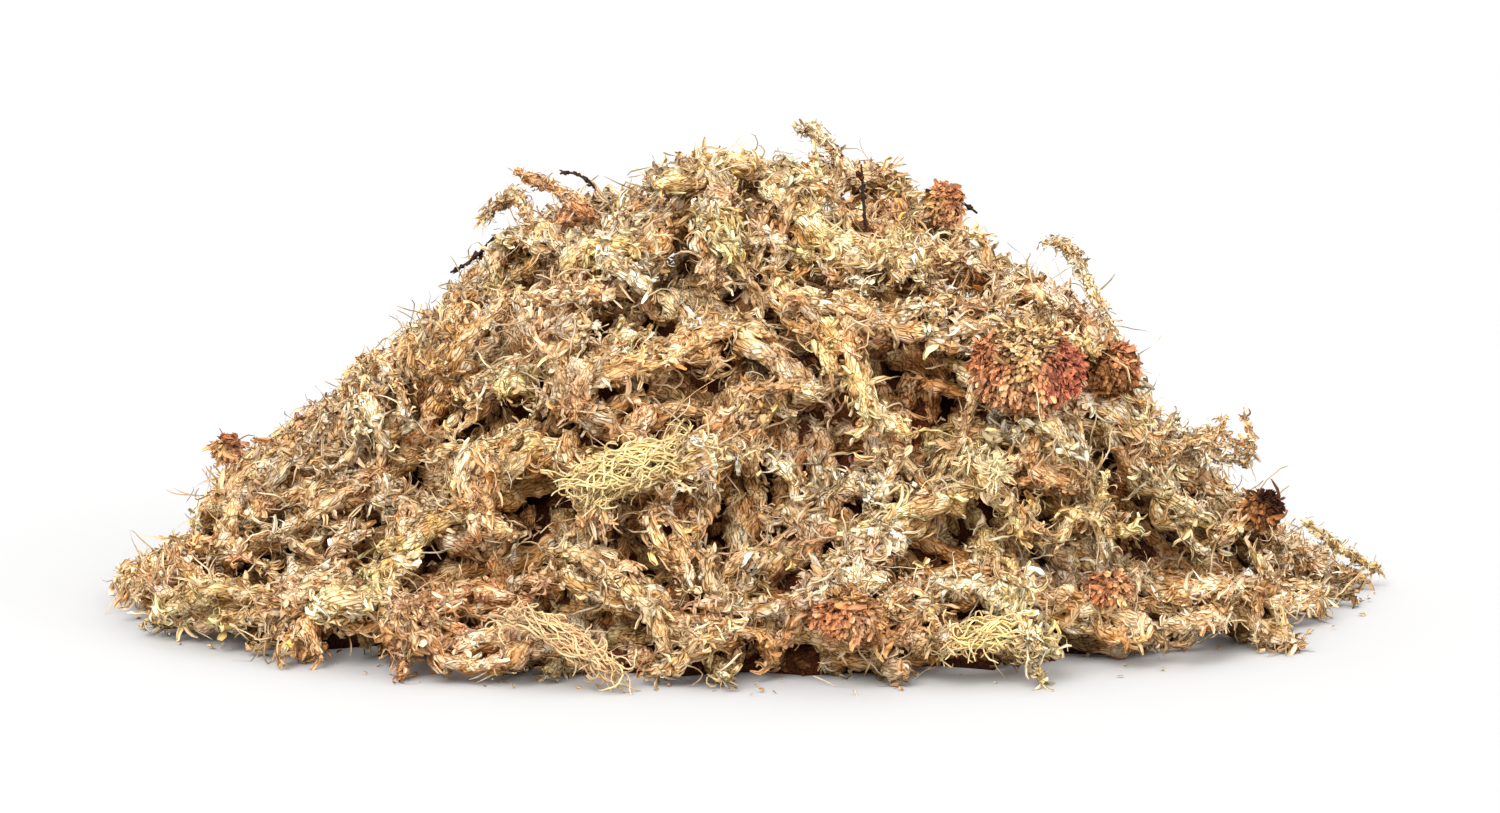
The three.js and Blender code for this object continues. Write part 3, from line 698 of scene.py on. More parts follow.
@dataclass(frozen=True)
class Curl:
    """A kind of thin curly strand."""

    length: Pair
    width: Pair
    turn: float
    steps: int = 5
    lean: Pair = (0.1, 1.2)
    wobble: float = 0.22
    taper: float = 0.6
    hug: float = 0.0
    is_round: bool = False

    def walk(self, sprouts: Sprouts, rng: Rng, size: float) -> tuple[Array, Array]:
        """Lets each strand wander off from its sprout.

        Args:
            sprouts: where the strands grow.
            rng: draws their bends.
            size: factor on their length.

        Returns:
            The strands' points, and the directions across them, by item and point.
        """
        count = len(sprouts)
        way, top = sprouts.leaning(rng.uniform(*self.lean, count))
        spin = unit(np.cross(way, unit(rng.normal(size=(count, 3)) + 0.6 * top)))
        angle = rng.normal(0.0, self.turn, count)[:, None] / self.steps
        step = (size * rng.uniform(*self.length, count) / self.steps)[:, None]
        centre = sprouts.feet
        across = unit(np.cross(way, top))
        centres, sides = [centre], [across]
        for _ in range(self.steps):
            way = way * np.cos(angle) + np.cross(spin, way) * np.sin(angle)
            way = way + rng.normal(0.0, self.wobble, (count, 3))
            away = np.sum(way * sprouts.outward, 1, keepdims=True)
            way = unit(way - self.hug * away * sprouts.outward)
            centre = centre + way * step
            along = way * np.sum(across * way, 1, keepdims=True)
            across = unit(across - along + 0.25 * np.cross(way, across))
            centres.append(centre)
            sides.append(across)
        return np.stack(centres, 1), np.stack(sides, 1)

    def add(self, mesh: MossMesh, sprouts: Sprouts, rng: Rng, size: float = 1.0) -> None:
        """Adds one strand for each sprout.

        Args:
            mesh: takes the strands.
            sprouts: where they grow.
            rng: draws their shapes.
            size: factor on their length and, less so, on their width.
        """
        if not len(sprouts):
            return
        centres, sides = self.walk(sprouts, rng, size)
        share = np.linspace(0.0, 1.0, self.steps + 1)
        profile = (1.0 - self.taper * share) * np.where(share > 0.99, 0.6, 1.0)
        profile = profile * np.where(share < 0.01, 0.7, 1.0)
        half = 0.5 * math.sqrt(size) * rng.uniform(*self.width, len(sprouts))[:, None] * profile
        tints = sprouts.tints[:, None] * (0.8 + 0.22 * share)[None, :, None]
        add_lines(mesh, centres, sides, half, tints, self.is_round)


ROD_TURN = 0.5


def add_lines(
    mesh: MossMesh, centres: Array, sides: Array, half: Array, tints: Array, is_round: bool
) -> None:
    """Adds thin lines that have equally many points.

    Args:
        mesh: takes the lines.
        centres: their points, by item and point.
        sides: directions across them, likewise.
        half: their half widths, likewise.
        tints: their linear colours, likewise.
        is_round: whether a line is a three-sided rod instead of a flat ribbon.
    """
    items, stations = centres.shape[:2]
    if is_round:
        tangents = unit(np.gradient(centres, axis=1))
        upward = unit(np.cross(sides, tangents))
        angles = (ROD_TURN, ROD_TURN + TURN / 3, ROD_TURN - TURN / 3)
        spokes = [math.cos(angle) * sides + math.sin(angle) * upward for angle in angles]
    else:
        spokes = [-sides, sides]
    ring = len(spokes)
    points = np.stack([centres + spoke * half[..., None] for spoke in spokes], 2).reshape(items, -1, 3)
    faces = []
    for side in range(ring if is_round else 1):
        lower = ring * np.arange(stations - 1) + side
        after = ring * np.arange(stations - 1) + (side + 1) % ring
        faces.append(np.stack([lower, after, lower + ring], 1))
        faces.append(np.stack([after, after + ring, lower + ring], 1))
    height = np.repeat(np.linspace(0.0, 1.0, stations), ring)
    breadth = np.tile(np.linspace(0.2, 0.8, ring), stations)
    spots = np.stack([breadth, height], 1)
    mesh.add(points, np.repeat(tints, ring, axis=1), np.concatenate(faces), spots)


CRINKLED_LEAF = Curl((3.0, 7.5), (0.9, 2.0), 4.0, steps=4, lean=(-0.1, 0.45), wobble=0.4, taper=0.2, hug=0.7)
CURLY_LEAF = Curl((3.5, 9.0), (0.45, 0.85), 5.0, steps=6, lean=(0.0, 0.9), taper=0.3, hug=0.35)
STRING_CURL = Curl((8.0, 18.0), (0.4, 0.7), 4.2, steps=8, lean=(0.0, 0.7), taper=0.3, hug=0.4)
TIP_CURL = Curl((3.0, 7.0), (0.8, 1.5), 4.2, steps=5, lean=(-0.1, 0.3), wobble=0.35, taper=0.3)
LOOSE_HAIR = Curl(
    (8.0, 20.0), (0.3, 0.5), 3.4, steps=10, lean=(-0.2, 0.2), wobble=0.16, hug=0.75, is_round=True
)


# ---- daylight ----


class Daylight:
    """How openly a place of the heap lies, judged from all sides by depth maps of what covers it."""

    CELL = 2.2
    SLACK = 2.6
    RINGS = ((4.0, 12), (26.0, 10), (52.0, 6), (90.0, 1))
    CLEAR_ROUND = 0.95
    CLEAR_DEPTH = (-2.5, 0.4)

    def __init__(self, cover: Array, clear: Iterable[str]) -> None:
        """Makes one depth map for each way of looking.

        Args:
            cover: points on everything that covers something else.
            clear: nodes over whose front nothing may lie.
        """
        boxes = [box_corners(node) for node in clear]
        self.clearings = [(0.5 * (low + high), 0.5 * (high - low)) for low, high in boxes]
        self.views = []
        for elevation, count in self.RINGS:
            for i in range(count):
                turn, rise = TURN * (i + 0.5) / count, math.radians(elevation)
                level, across = math.cos(rise), np.array([-math.sin(turn), math.cos(turn), 0.0])
                way = np.array([math.cos(turn) * level, math.sin(turn) * level, math.sin(rise)])
                axes = np.stack([across, np.cross(way, across), way])
                placed = cover @ axes.T
                low = placed[:, :2].min(0) - self.CELL
                cells = ((placed[:, :2] - low) / self.CELL).astype(int)
                depth = np.full(cells.max(0) + 2, -1e9)
                np.maximum.at(depth, (cells[:, 0], cells[:, 1]), placed[:, 2])
                self.views.append((axes, low, depth))

    def openness(self, points: Array) -> Array:
        """Judges how open some points lie.

        Args:
            points: the points.

        Returns:
            Shares of the ways of looking from which they are seen.
        """
        seen = np.zeros(len(points))
        for axes, low, depth in self.views:
            placed = points @ axes.T
            cells = ((placed[:, :2] - low) / self.CELL).astype(int)
            cells = np.clip(cells, 0, np.array(depth.shape) - 1)
            seen += placed[:, 2] > depth[cells[:, 0], cells[:, 1]] - self.SLACK
        for middle, half in self.clearings:
            apart = (points - middle) / half
            is_round = np.hypot(apart[:, 0], apart[:, 2]) < self.CLEAR_ROUND
            front, back = self.CLEAR_DEPTH
            seen[is_round & (apart[:, 1] > front) & (apart[:, 1] < back)] = 0.0
        return seen / len(self.views)


# ---- ropes ----


def shaken(tints: Array, spread: float, rng: Rng) -> Array:
    """Tints of which each is a little lighter or darker, warmer or cooler.

    Args:
        tints: linear colours, one row each.
        spread: of their lightness.
        rng: draws the differences.

    Returns:
        The new colours.
    """
    light = np.exp(rng.normal(0.0, spread, len(tints)))[:, None]
    warmth = rng.normal(0.0, 0.3 * spread, len(tints))
    hue = np.stack([1.0 + warmth, np.ones(len(tints)), 1.0 - 1.5 * warmth], 1)
    return tints * light * hue


def drift(points: Array, wavelength: float, seed: int) -> Array:
    """A smooth random value over space, from about -1 to 1.

    Args:
        points: where to read it.
        wavelength: about how far apart its heights lie.
        seed: number that the pattern starts from.

    Returns:
        The values.
    """
    rng = default_rng(seed)
    ways = unit(rng.normal(size=(5, 3))) * TURN / (wavelength * rng.uniform(0.7, 1.4, (5, 1)))
    return np.sin(points @ ways.T + rng.uniform(0.0, TURN, 5)).sum(1) / 2.6


BLOTCHES = (  # tint, breadth, seed, lowest drift and largest share
    (Tint.SALMON, 17.0, 11, 0.4, 0.5),
    (Tint.BROWN, 13.0, 12, 0.4, 0.35),
    (Tint.CREAM, 15.0, 13, 0.4, 0.4),
    (Tint.RUST, 29.0, 14, 0.9, 0.3),
)
BLOTCH_EDGE = 2.5
SHADE_POWERS = np.array([0.68, 1.15, 2.0])


def coloured(tints: Array, points: Array, shade: Array) -> Array:
    """Tints as they are at their places: patchy, and browner where they are shaded.

    Args:
        tints: linear colours, one row each.
        points: their places.
        shade: how light each is, out of 1.

    Returns:
        The new colours.
    """
    out = tints
    for tint, breadth, seed, start, most in BLOTCHES:
        share = most * ((drift(points, breadth, seed) - start) * BLOTCH_EDGE).clip(0.0, 1.0)[:, None]
        out = out * (1.0 - share) + tint.linear() * share
    light = (1.0 + 0.16 * drift(points, 9.0, 15))[:, None]
    return out * light * shade.clip(0.05, 1.5)[:, None] ** SHADE_POWERS


CORE_SIDES = 8
CORE_STEP = 1.6
SKIN_SIDES = 11
FULL_RADIUS = 3.5
RELIEF = 0.3
OVAL = 0.3
CLUMP_PLACE = (0.08, 0.92)
CLUMP_LENGTH = (7.0, 17.0)
CLUMP_GIRTH = (0.45, 0.8)
KNOB_WAVES = (  # length, turns round the rope, phases and height
    (11.3, 1.0, 1.0, 0.3),
    (4.7, -2.0, 2.0, 0.22),
    (2.7, 3.0, -1.0, 0.18),
)


@dataclass
class Rope:
    """A leafy stem: a knobbly core with crinkled leaves, curly side shoots and stringy wisps."""

    course: Course
    radius: float
    first: Array
    second: Array
    crinkled: float = 1.45
    flakes: float = 0.5
    curly: float = 1.4
    strings: float = 0.26
    tip_curls: int = 6
    end: float = 14.0
    leaf_size: float = 1.0
    phase: float = 0.0

    def __post_init__(self) -> None:
        """Lets each rope have knobs of its own."""
        self.phase = float(np.sum(self.course.points[0]) % TURN)

    def skin(self) -> Array:
        """Feels the rope all over.

        Returns:
            Points on its skin.
        """
        distance = np.repeat(np.arange(0.0, self.course.length, CORE_STEP), SKIN_SIDES)
        angle = np.tile(TURN * np.arange(SKIN_SIDES) / SKIN_SIDES, len(distance) // SKIN_SIDES)
        centre, _, outward = self.course.at(distance, angle)
        height = self._girth(distance) * (1.0 + RELIEF * self._relief(distance, angle))
        return centre + outward * height[:, None]

    def _relief(self, distance: Array, angle: Array) -> Array:
        """Reads how high the knobs stand.

        Args:
            distance: distances along the rope.
            angle: angles round it.

        Returns:
            Heights from -1 to 1.
        """
        relief = OVAL * np.cos(2.0 * angle + distance / 9.0 + self.phase)
        for length, turns, phases, height in KNOB_WAVES:
            relief = relief + height * np.sin(TURN * distance / length + turns * angle + phases * self.phase)
        return relief

    def _tints(self, distance: Array) -> Array:
        """Colours along the rope, which drift between its two tints."""
        share = 0.5 + 0.5 * np.sin(TURN * distance / 23.0 + self.phase) * np.sin(TURN * distance / 9.0)
        return self.first * (1.0 - share[:, None]) + self.second * share[:, None]

    def _girth(self, distance: Array) -> Array:
        """Reads how thick the rope is, slimmer towards its ends.

        Args:
            distance: distances along the rope.

        Returns:
            Its radii there.
        """
        from_end = np.minimum(distance, self.course.length - distance)
        taper = min(self.end, 0.45 * self.course.length)
        slow, quick = np.sin(TURN * distance / 14.0 + self.phase), np.sin(distance / 1.1 - self.phase)
        lumps = 1.0 + 0.26 * slow + 0.16 * quick
        return self.radius * lumps * (0.3 + 0.7 * np.sin(0.5 * math.pi * (from_end / taper).clip(0.0, 1.0)))

    def _sprouts(self, density: float, sink: Pair, yaw: float, daylight: Daylight, rng: Rng) -> Sprouts:
        """Draws places on the rope's skin, apart from those that nothing sees.

        Args:
            density: number of places for each millimetre of a rope of full radius.
            sink: least and most depth under the skin, as shares of the radius.
            yaw: how far the ways turn off the rope's own, in radians.
            daylight: tells how open a place lies.
            rng: draws the places.

        Returns:
            The sprouts.
        """
        count = int(density * self.course.length * (0.3 + 0.7 * self.radius / FULL_RADIUS))
        distance = rng.uniform(0.0, self.course.length, count)
        angle = rng.uniform(0.0, TURN, count)
        centre, tangent, outward = self.course.at(distance, angle)
        relief = self._relief(distance, angle)
        depth = rng.uniform(*sink, count)
        feet = centre + outward * (self._girth(distance) * (1.0 + RELIEF * relief - depth))[:, None]
        openness = daylight.openness(feet)
        turn = rng.normal(0.0, yaw, count)[:, None]
        way = tangent * np.cos(turn) + np.cross(tangent, outward) * np.sin(turn)
        way = way * rng.choice((-1.0, 1.0), (count, 1), p=(0.25, 0.75))
        shade = 1.24 + 0.35 * relief - 1.1 * depth.clip(0.0)
        shade = shade * (0.64 + 0.36 * (4.0 * openness).clip(0.0, 1.0))
        tints = shaken(coloured(self._tints(distance), feet, shade), 0.19, rng)
        kept = rng.uniform(0.0, 1.0, count) < 3.0 * openness
        return Sprouts(feet, way, outward, tints).kept(kept)

    def dress(self, mesh: MossMesh, daylight: Daylight, rng: Rng) -> None:
        """Adds the rope to a piece.

        Args:
            mesh: takes the rope.
            daylight: tells what shows.
            rng: draws everything that varies.
        """
        self._add_core(mesh, daylight, rng)
        size = self.leaf_size
        CRINKLED_LEAF.add(mesh, self._sprouts(self.crinkled, (-0.05, 0.25), 0.9, daylight, rng), rng, size)
        add_flakes(mesh, self._sprouts(self.flakes, (0.0, 0.2), 1.0, daylight, rng), (1.8, 3.6), rng, size)
        curly = self._sprouts(self.curly, (-0.05, 0.2), 1.1, daylight, rng)
        curly.tints = paler(curly.tints, 0.4)
        CURLY_LEAF.add(mesh, curly, rng, size)
        strings = self._sprouts(self.strings, (-0.1, 0.2), 0.9, daylight, rng)
        strings.tints = paler(strings.tints, 0.6)
        STRING_CURL.add(mesh, strings, rng, size)
        self._add_tips(mesh, daylight, rng)

    def _add_core(self, mesh: MossMesh, daylight: Daylight, rng: Rng) -> None:
        """Adds the crinkled stem that the leaves stand on, apart from what nothing sees.

        Args:
            mesh: takes the stem.
            daylight: tells what shows.
            rng: draws its crinkles.
        """
        course = self.course.resampled(CORE_STEP)
        distance = course.distance
        angles = TURN * np.arange(CORE_SIDES) / CORE_SIDES
        relief = np.stack([self._relief(distance, np.full(len(distance), angle)) for angle in angles], 1)
        crinkle = rng.normal(0.0, 1.0, relief.shape)
        radii = self._girth(distance)[:, None] * (0.84 + 0.4 * relief + 0.1 * crinkle)
        radii = np.maximum(radii, 0.15)
        points = tube_points(course, radii).reshape(-1, 3)
        openness = daylight.openness(points)
        light = 1.04 + 0.6 * relief.ravel() + 0.14 * crinkle.ravel()
        shade = light * (0.55 + 0.45 * (4.0 * openness).clip(0.0, 1.0))
        tints = coloured(np.repeat(self._tints(distance), CORE_SIDES, 0), points, shade)
        tints = shaken(tints, 0.12, rng).reshape(*relief.shape, 3)
        mesh.add_tube(course, radii, tints, (openness > 0.0).reshape(relief.shape))

    def _add_tips(self, mesh: MossMesh, daylight: Daylight, rng: Rng) -> None:
        """Adds the tufts at both ends.

        Args:
            mesh: takes the tufts.
            daylight: tells what shows.
            rng: draws their curls.
        """
        for sign, station in ((-1.0, 0), (1.0, -1)):
            count = self.tip_curls
            forward = sign * self.course.tangents[station]
            spread = unit(rng.normal(size=(count, 3)))
            ways = unit(forward + 0.4 * spread)
            outward = unit(spread - ways * np.sum(spread * ways, 1, keepdims=True))
            back = rng.uniform(0.0, 1.2, (count, 1)) * self.radius
            feet = self.course.points[station] - forward * back + spread * 0.3 * self.radius
            base = np.tile(self.first if sign > 0 else self.second, (count, 1))
            tints = shaken(coloured(base, feet, np.full(count, 1.05)), 0.25, rng)
            seen = daylight.openness(feet) > 0.0
            TIP_CURL.add(mesh, Sprouts(feet, ways, outward, tints).kept(seen), rng, self.leaf_size)

    def side_clump(self, rng: Rng) -> "Rope":
        """A short branch that leaves the rope and bends back along it.

        Args:
            rng: draws its place and size.

        Returns:
            The branch.
        """
        distance = np.array([rng.uniform(*CLUMP_PLACE) * self.course.length])
        centre, tangent, outward = (rows[0] for rows in self.course.at(distance, rng.uniform(0.0, TURN, 1)))
        length = rng.uniform(*CLUMP_LENGTH)
        forward = tangent * rng.choice((-1.0, 1.0))
        aside = np.cross(forward, outward)
        way = unit(forward * 0.8 + 0.8 * outward + 0.5 * rng.normal() * aside)
        start = centre + outward * 0.4 * self.radius
        middle = start + way * 0.4 * length
        last = middle + unit(forward + 0.25 * way + 0.7 * rng.normal() * aside) * 0.6 * length
        points = through(np.stack([start, middle, last]), 1.8)
        radius = self.radius * rng.uniform(*CLUMP_GIRTH)
        first, second = (self.first, self.second) if rng.uniform() < 0.6 else (self.second, self.first)
        course = Course(settled(points, 0.6 * radius))
        return Rope(course, radius, first, second, crinkled=2.8, curly=1.0, tip_curls=5, end=6.0)


def settled(points: Array, radius: float) -> Array:
    """A line's points, sagged so that its rope stays under the skyline and above the floor.

    Args:
        points: the line's points.
        radius: of the rope.

    Returns:
        The new points.
    """
    seen = points[:, 2] * math.cos(VIEW_PITCH) + points[:, 1] * math.sin(VIEW_PITCH)
    ceiling = np.interp(points[:, 0], SKYLINE[:, 0], SKYLINE[:, 1]) - radius - SKYLINE_GAP
    sagged = points.copy()
    sagged[:, 2] = np.maximum(points[:, 2] - SAG * (seen - ceiling).clip(0.0), radius + 0.4)
    return sagged


def paler(tints: Array, most: float) -> Array:
    """Tints turned towards cream.

    Args:
        tints: linear colours.
        most: share of cream in them.

    Returns:
        The paler colours.
    """
    return tints * (1.0 - most) + Tint.CREAM.linear() * most


# ---- finishes ----


class Nodes:
    """A node tree and the short calls that fill it."""

    def __init__(self, tree: bpy.types.NodeTree) -> None:
        """Takes a tree.

        Args:
            tree: the tree to fill.
        """
        self.tree = tree

    def fill(self, node: bpy.types.Node, inputs: dict[Any, Any]) -> bpy.types.Node:
        """Joins or sets some of a node's inputs.

        Args:
            node: the node.
            inputs: a socket or a value for the name or number of each input.

        Returns:
            The node.
        """
        for key, value in inputs.items():
            if isinstance(value, bpy.types.NodeSocket):
                self.tree.links.new(value, node.inputs[key])
            else:
                node.inputs[key].default_value = value
        return node

    def new(self, kind: str, inputs: dict[Any, Any] | None = None, **settings: Any) -> bpy.types.Node:
        """Adds a node.

        Args:
            kind: its type.
            inputs: what to fill into its inputs.
            settings: some of its properties.

        Returns:
            The node.
        """
        node = self.tree.nodes.new(kind)
        for key, value in settings.items():
            setattr(node, key, value)
        return self.fill(node, inputs or {})

    def math(self, operation: str, *values: Any) -> bpy.types.NodeSocket:
        """The result of some arithmetic on sockets or numbers."""
        return self.new("ShaderNodeMath", dict(enumerate(values)), operation=operation).outputs[0]

    def noise(self, coordinates: bpy.types.NodeSocket, scale: float, detail: float) -> bpy.types.NodeSocket:
        """The value of a noise over some coordinates."""
        inputs = {"Vector": coordinates, "Scale": scale, "Detail": detail}
        return self.new("ShaderNodeTexNoise", inputs).outputs["Fac"]


def shared_group(name: str, sockets: Sequence[tuple[str, str, str]], fill: Callable[..., None]) -> Any:
    """A shader node group that several finishes share.

    Args:
        name: the group's name.
        sockets: name, way (INPUT or OUTPUT) and kind of value of each.
        fill: fills the tree, from its nodes, its input node and its output node.

    Returns:
        The group, made the first time that it is asked for.
    """
    if name in bpy.data.node_groups:
        return bpy.data.node_groups[name]
    tree = bpy.data.node_groups.new(name, "ShaderNodeTree")
    for socket, way, kind in sockets:
        tree.interface.new_socket(name=socket, in_out=way, socket_type=f"NodeSocket{kind}")
    nodes = Nodes(tree)
    fill(nodes, nodes.new("NodeGroupInput"), nodes.new("NodeGroupOutput"))
    return tree


SWIRL_SCALE = 480.0
SWIRL_PULL = 0.0014
RIDGE_WIDTH = 0.24
FINE_SCALE = 1900.0
COARSE_SCALE = 150.0
GREEN_POWER = 1.3
BLUE_POWER = 2.0


def fill_crinkle(nodes: Nodes, given: bpy.types.Node, result: bpy.types.Node) -> None:
    """Wrinkles that run along a strand or leaf, with light and dark spots between them, painted shade in the
    creases at the cells' edges and painted light on the ridges.

    Args:
        nodes: the group's nodes.
        given: the input node.
        result: the output node.
    """
    grain = given.outputs["Grain"]
    swirl = nodes.new("ShaderNodeTexNoise", {"Vector": grain, "Scale": SWIRL_SCALE})
    pull = {0: swirl.outputs["Color"], "Scale": SWIRL_PULL}
    pulled = nodes.new("ShaderNodeVectorMath", pull, operation="SCALE").outputs[0]
    bent = nodes.new("ShaderNodeVectorMath", {0: grain, 1: pulled}, operation="ADD").outputs[0]
    cells = {"Vector": bent, "Scale": given.outputs["Scale"]}
    edges = nodes.new("ShaderNodeTexVoronoi", cells, feature="DISTANCE_TO_EDGE").outputs["Distance"]
    slope = {"Value": edges, "From Max": RIDGE_WIDTH}
    ridge = nodes.new("ShaderNodeMapRange", slope, interpolation_type="SMOOTHSTEP").outputs[0]
    fine = nodes.noise(bent, FINE_SCALE, 3.0)
    coarse = nodes.noise(given.outputs["Coordinates"], COARSE_SCALE, 3.0)
    spots = nodes.math("ADD", nodes.math("MULTIPLY", coarse, 0.35), nodes.math("MULTIPLY", fine, 0.65))
    swing = nodes.math("MULTIPLY", nodes.math("SUBTRACT", spots, 0.5), given.outputs["Strength"])
    # painted shade: the colour darkens in the creases at the cells' edges and lightens on the ridges between
    # them
    shaded_crease = nodes.math("MULTIPLY", nodes.math("SUBTRACT", ridge, 0.6), given.outputs["Crease"])
    total = nodes.math("ADD", nodes.math("ADD", swing, shaded_crease), 1.06)
    lightness = nodes.math("MINIMUM", nodes.math("MAXIMUM", total, 0.1), 1.01)
    green, blue = (nodes.math("POWER", lightness, power) for power in (GREEN_POWER, BLUE_POWER))
    shade = nodes.new("ShaderNodeCombineColor", {0: lightness, 1: green, 2: blue}).outputs[0]
    factors = {"Factor": 1.0, 6: given.outputs["Tint"], 7: shade}
    mixed = nodes.new("ShaderNodeMix", factors, data_type="RGBA", blend_type="MULTIPLY")
    height = nodes.math("ADD", ridge, nodes.math("MULTIPLY", fine, 0.8))
    nodes.fill(result, {"Color": mixed.outputs[2], "Height": height})


CRINKLE_SOCKETS = (
    ("Tint", "INPUT", "Color"),
    ("Coordinates", "INPUT", "Vector"),
    ("Grain", "INPUT", "Vector"),
    ("Scale", "INPUT", "Float"),
    ("Strength", "INPUT", "Float"),
    # input for the strength of the painted shade in the creases and the painted light on the ridges
    ("Crease", "INPUT", "Float"),
    ("Color", "OUTPUT", "Color"),
    ("Height", "OUTPUT", "Float"),
)


@dataclass(frozen=True)
class MossFinish:
    """A dry, dull finish whose colour comes from the tints of its points, with painted shade in the creases
    of its wrinkles.
    """

    name: str
    slot: str
    roughness: float = 0.85
    mottle: float = 3.0
    # strength of the painted shade in the wrinkles' creases and of the painted light on their ridges
    shaded_crease: float = 1.0
    cell_scale: float = 900.0
    relief: float = 0.8
    bump: float = 0.4
    sheen: float = 0.0
    specular: float = 0.25
    patch_scale: float = 300.0

    def material(self) -> bpy.types.Material:
        """Makes the material, or finds it if it is there.

        Returns:
            The material.
        """
        if self.name in bpy.data.materials:
            return bpy.data.materials[self.name]
        made = bpy.data.materials.new(self.name)
        made.use_nodes = True
        nodes = Nodes(made.node_tree)
        coordinates = nodes.new("ShaderNodeTexCoord").outputs["Object"]
        crinkle = {
            "Tint": nodes.new("ShaderNodeAttribute", attribute_name=TINT_NAME).outputs["Color"],
            "Coordinates": coordinates,
            "Grain": nodes.new("ShaderNodeAttribute", attribute_name=GRAIN_NAME).outputs["Vector"],
            "Scale": self.cell_scale,
            "Strength": self.mottle,
            "Crease": self.shaded_crease,
        }
        shared = shared_group("LeafCrinkle", CRINKLE_SOCKETS, fill_crinkle)
        group = nodes.new("ShaderNodeGroup", node_tree=shared)
        nodes.fill(group, crinkle)
        bump = {"Strength": self.relief, "Distance": self.bump * MM, "Height": group.outputs["Height"]}
        patches = nodes.noise(coordinates, self.patch_scale, 2.0)
        dressing = {
            "Base Color": group.outputs["Color"],
            "Roughness": nodes.math("MULTIPLY_ADD", patches, 0.2, self.roughness - 0.1),
            "Normal": nodes.new("ShaderNodeBump", bump).outputs["Normal"],
            "Sheen Weight": self.sheen,
            "Specular IOR Level": self.specular,
        }
        nodes.fill(made.node_tree.nodes["Principled BSDF"], dressing)
        return made


STRAW_FINISH = MossFinish("dried_straw_moss", "straw_moss")
HEART_FINISH = MossFinish("matted_heart_moss", "heart_moss", roughness=0.9, relief=0.6)
RED_FINISH = MossFinish("red_moss_heads", "red_moss", roughness=0.8, mottle=1.3, shaded_crease=0.5)
BROWN_FINISH = MossFinish("brown_moss_heads", "brown_moss", roughness=0.85, mottle=1.4, shaded_crease=0.6)
FIBRE_FINISH = MossFinish(
    "bare_pale_fibres", "pale_fibre", roughness=0.7, mottle=0.7, shaded_crease=0.2, relief=0.15, sheen=0.1
)
TWIG_FINISH = MossFinish("dark_twig_bark", "dark_twig", roughness=0.75, mottle=1.6, cell_scale=1500.0)


def make_piece(mesh: MossMesh, name: str, finish: MossFinish, *nodes: str) -> None:
    """Makes a piece in its finish's material, hangs it on the body that it rides on, and hides the solids
    that it replaces.

    Args:
        mesh: its triangles.
        name: its name.
        finish: its finish.
        nodes: the solids that it replaces.
    """
    made = mesh.object(name, finish.material())
    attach(made, BODY)
    if nodes:
        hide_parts(*nodes)
    LOG.info("%s: %d triangles", made.name, len(made.data.polygons))


def make_ropes(ropes: Iterable[Rope], daylight: Daylight, seed: int, name: str, *nodes: str) -> Rng:
    """Makes a piece of ropes.

    Args:
        ropes: its ropes.
        daylight: tells what shows.
        seed: number that its draws start from.
        name: its name.
        nodes: the solids that it replaces.

    Returns:
        Its draws, to go on with.
    """
    rng = default_rng(seed)
    mesh = MossMesh()
    for rope in ropes:
        rope.dress(mesh, daylight, rng)
    make_piece(mesh, name, STRAW_FINISH, *nodes)
    return rng


# ---- the plan of the bunches ----


def on_ring(share: float, angle: float) -> Array:
    """The place in plan at an angle round the heap and a share of its half sizes."""
    return np.array([HALF_WIDTH * share * math.cos(angle), HALF_DEPTH * share * math.sin(angle)])


def plan_axes(heading: float) -> tuple[Array, Array]:
    """Directions in plan along a heading and to its left."""
    along = np.array([math.cos(heading), math.sin(heading)])
    return along, np.array([-along[1], along[0]])


def keep_inside(point: Array, limit: float) -> Array:
    """A point in plan, moved back inside a share of the footprint."""
    share = math.hypot(point[0] / HALF_WIDTH, point[1] / HALF_DEPTH)
    return point * (limit / share) if share > limit else point


def keep_off_head(point: Array, is_kept: bool) -> Array:
    """Moves a point in plan out of the place that the large head takes.

    Args:
        point: the point.
        is_kept: whether its row keeps off the head.

    Returns:
        The point, or where it was moved to.
    """
    away = point - LARGE_HEAD_PLACE
    room = LARGE_HEAD_RADIUS + HEAD_ROOM * STRAND_CORE
    distance = float(np.linalg.norm(away))
    if is_kept and distance < room:
        return LARGE_HEAD_PLACE + away / distance * room
    return point


def strand_plan(middle: Array, heading: float, length: float, row: BunchRow, draw: Draws) -> Array:
    """One crooked centre line in plan through a middle.

    Args:
        middle: the line's middle.
        heading: its direction, in radians.
        length: about how long it is.
        row: the row that it belongs to.
        draw: its draws.

    Returns:
        The line's points.
    """
    bend = draw(-BEND, BEND)
    wave = draw(-WAVE, WAVE)
    reach = length * draw(*HALF_LENGTH)
    along, aside = plan_axes(heading)
    plan = []
    for i in range(STRAND_POINTS):
        share = i / MIDDLE_POINT - 1.0
        point = middle + along * reach * share
        point = point + aside * reach * (bend * share * share + wave * math.sin(WAVE_PHASE * share))
        plan.append(keep_off_head(keep_inside(point, row.limit), row.keeps_off_head))
    return np.array(plan)


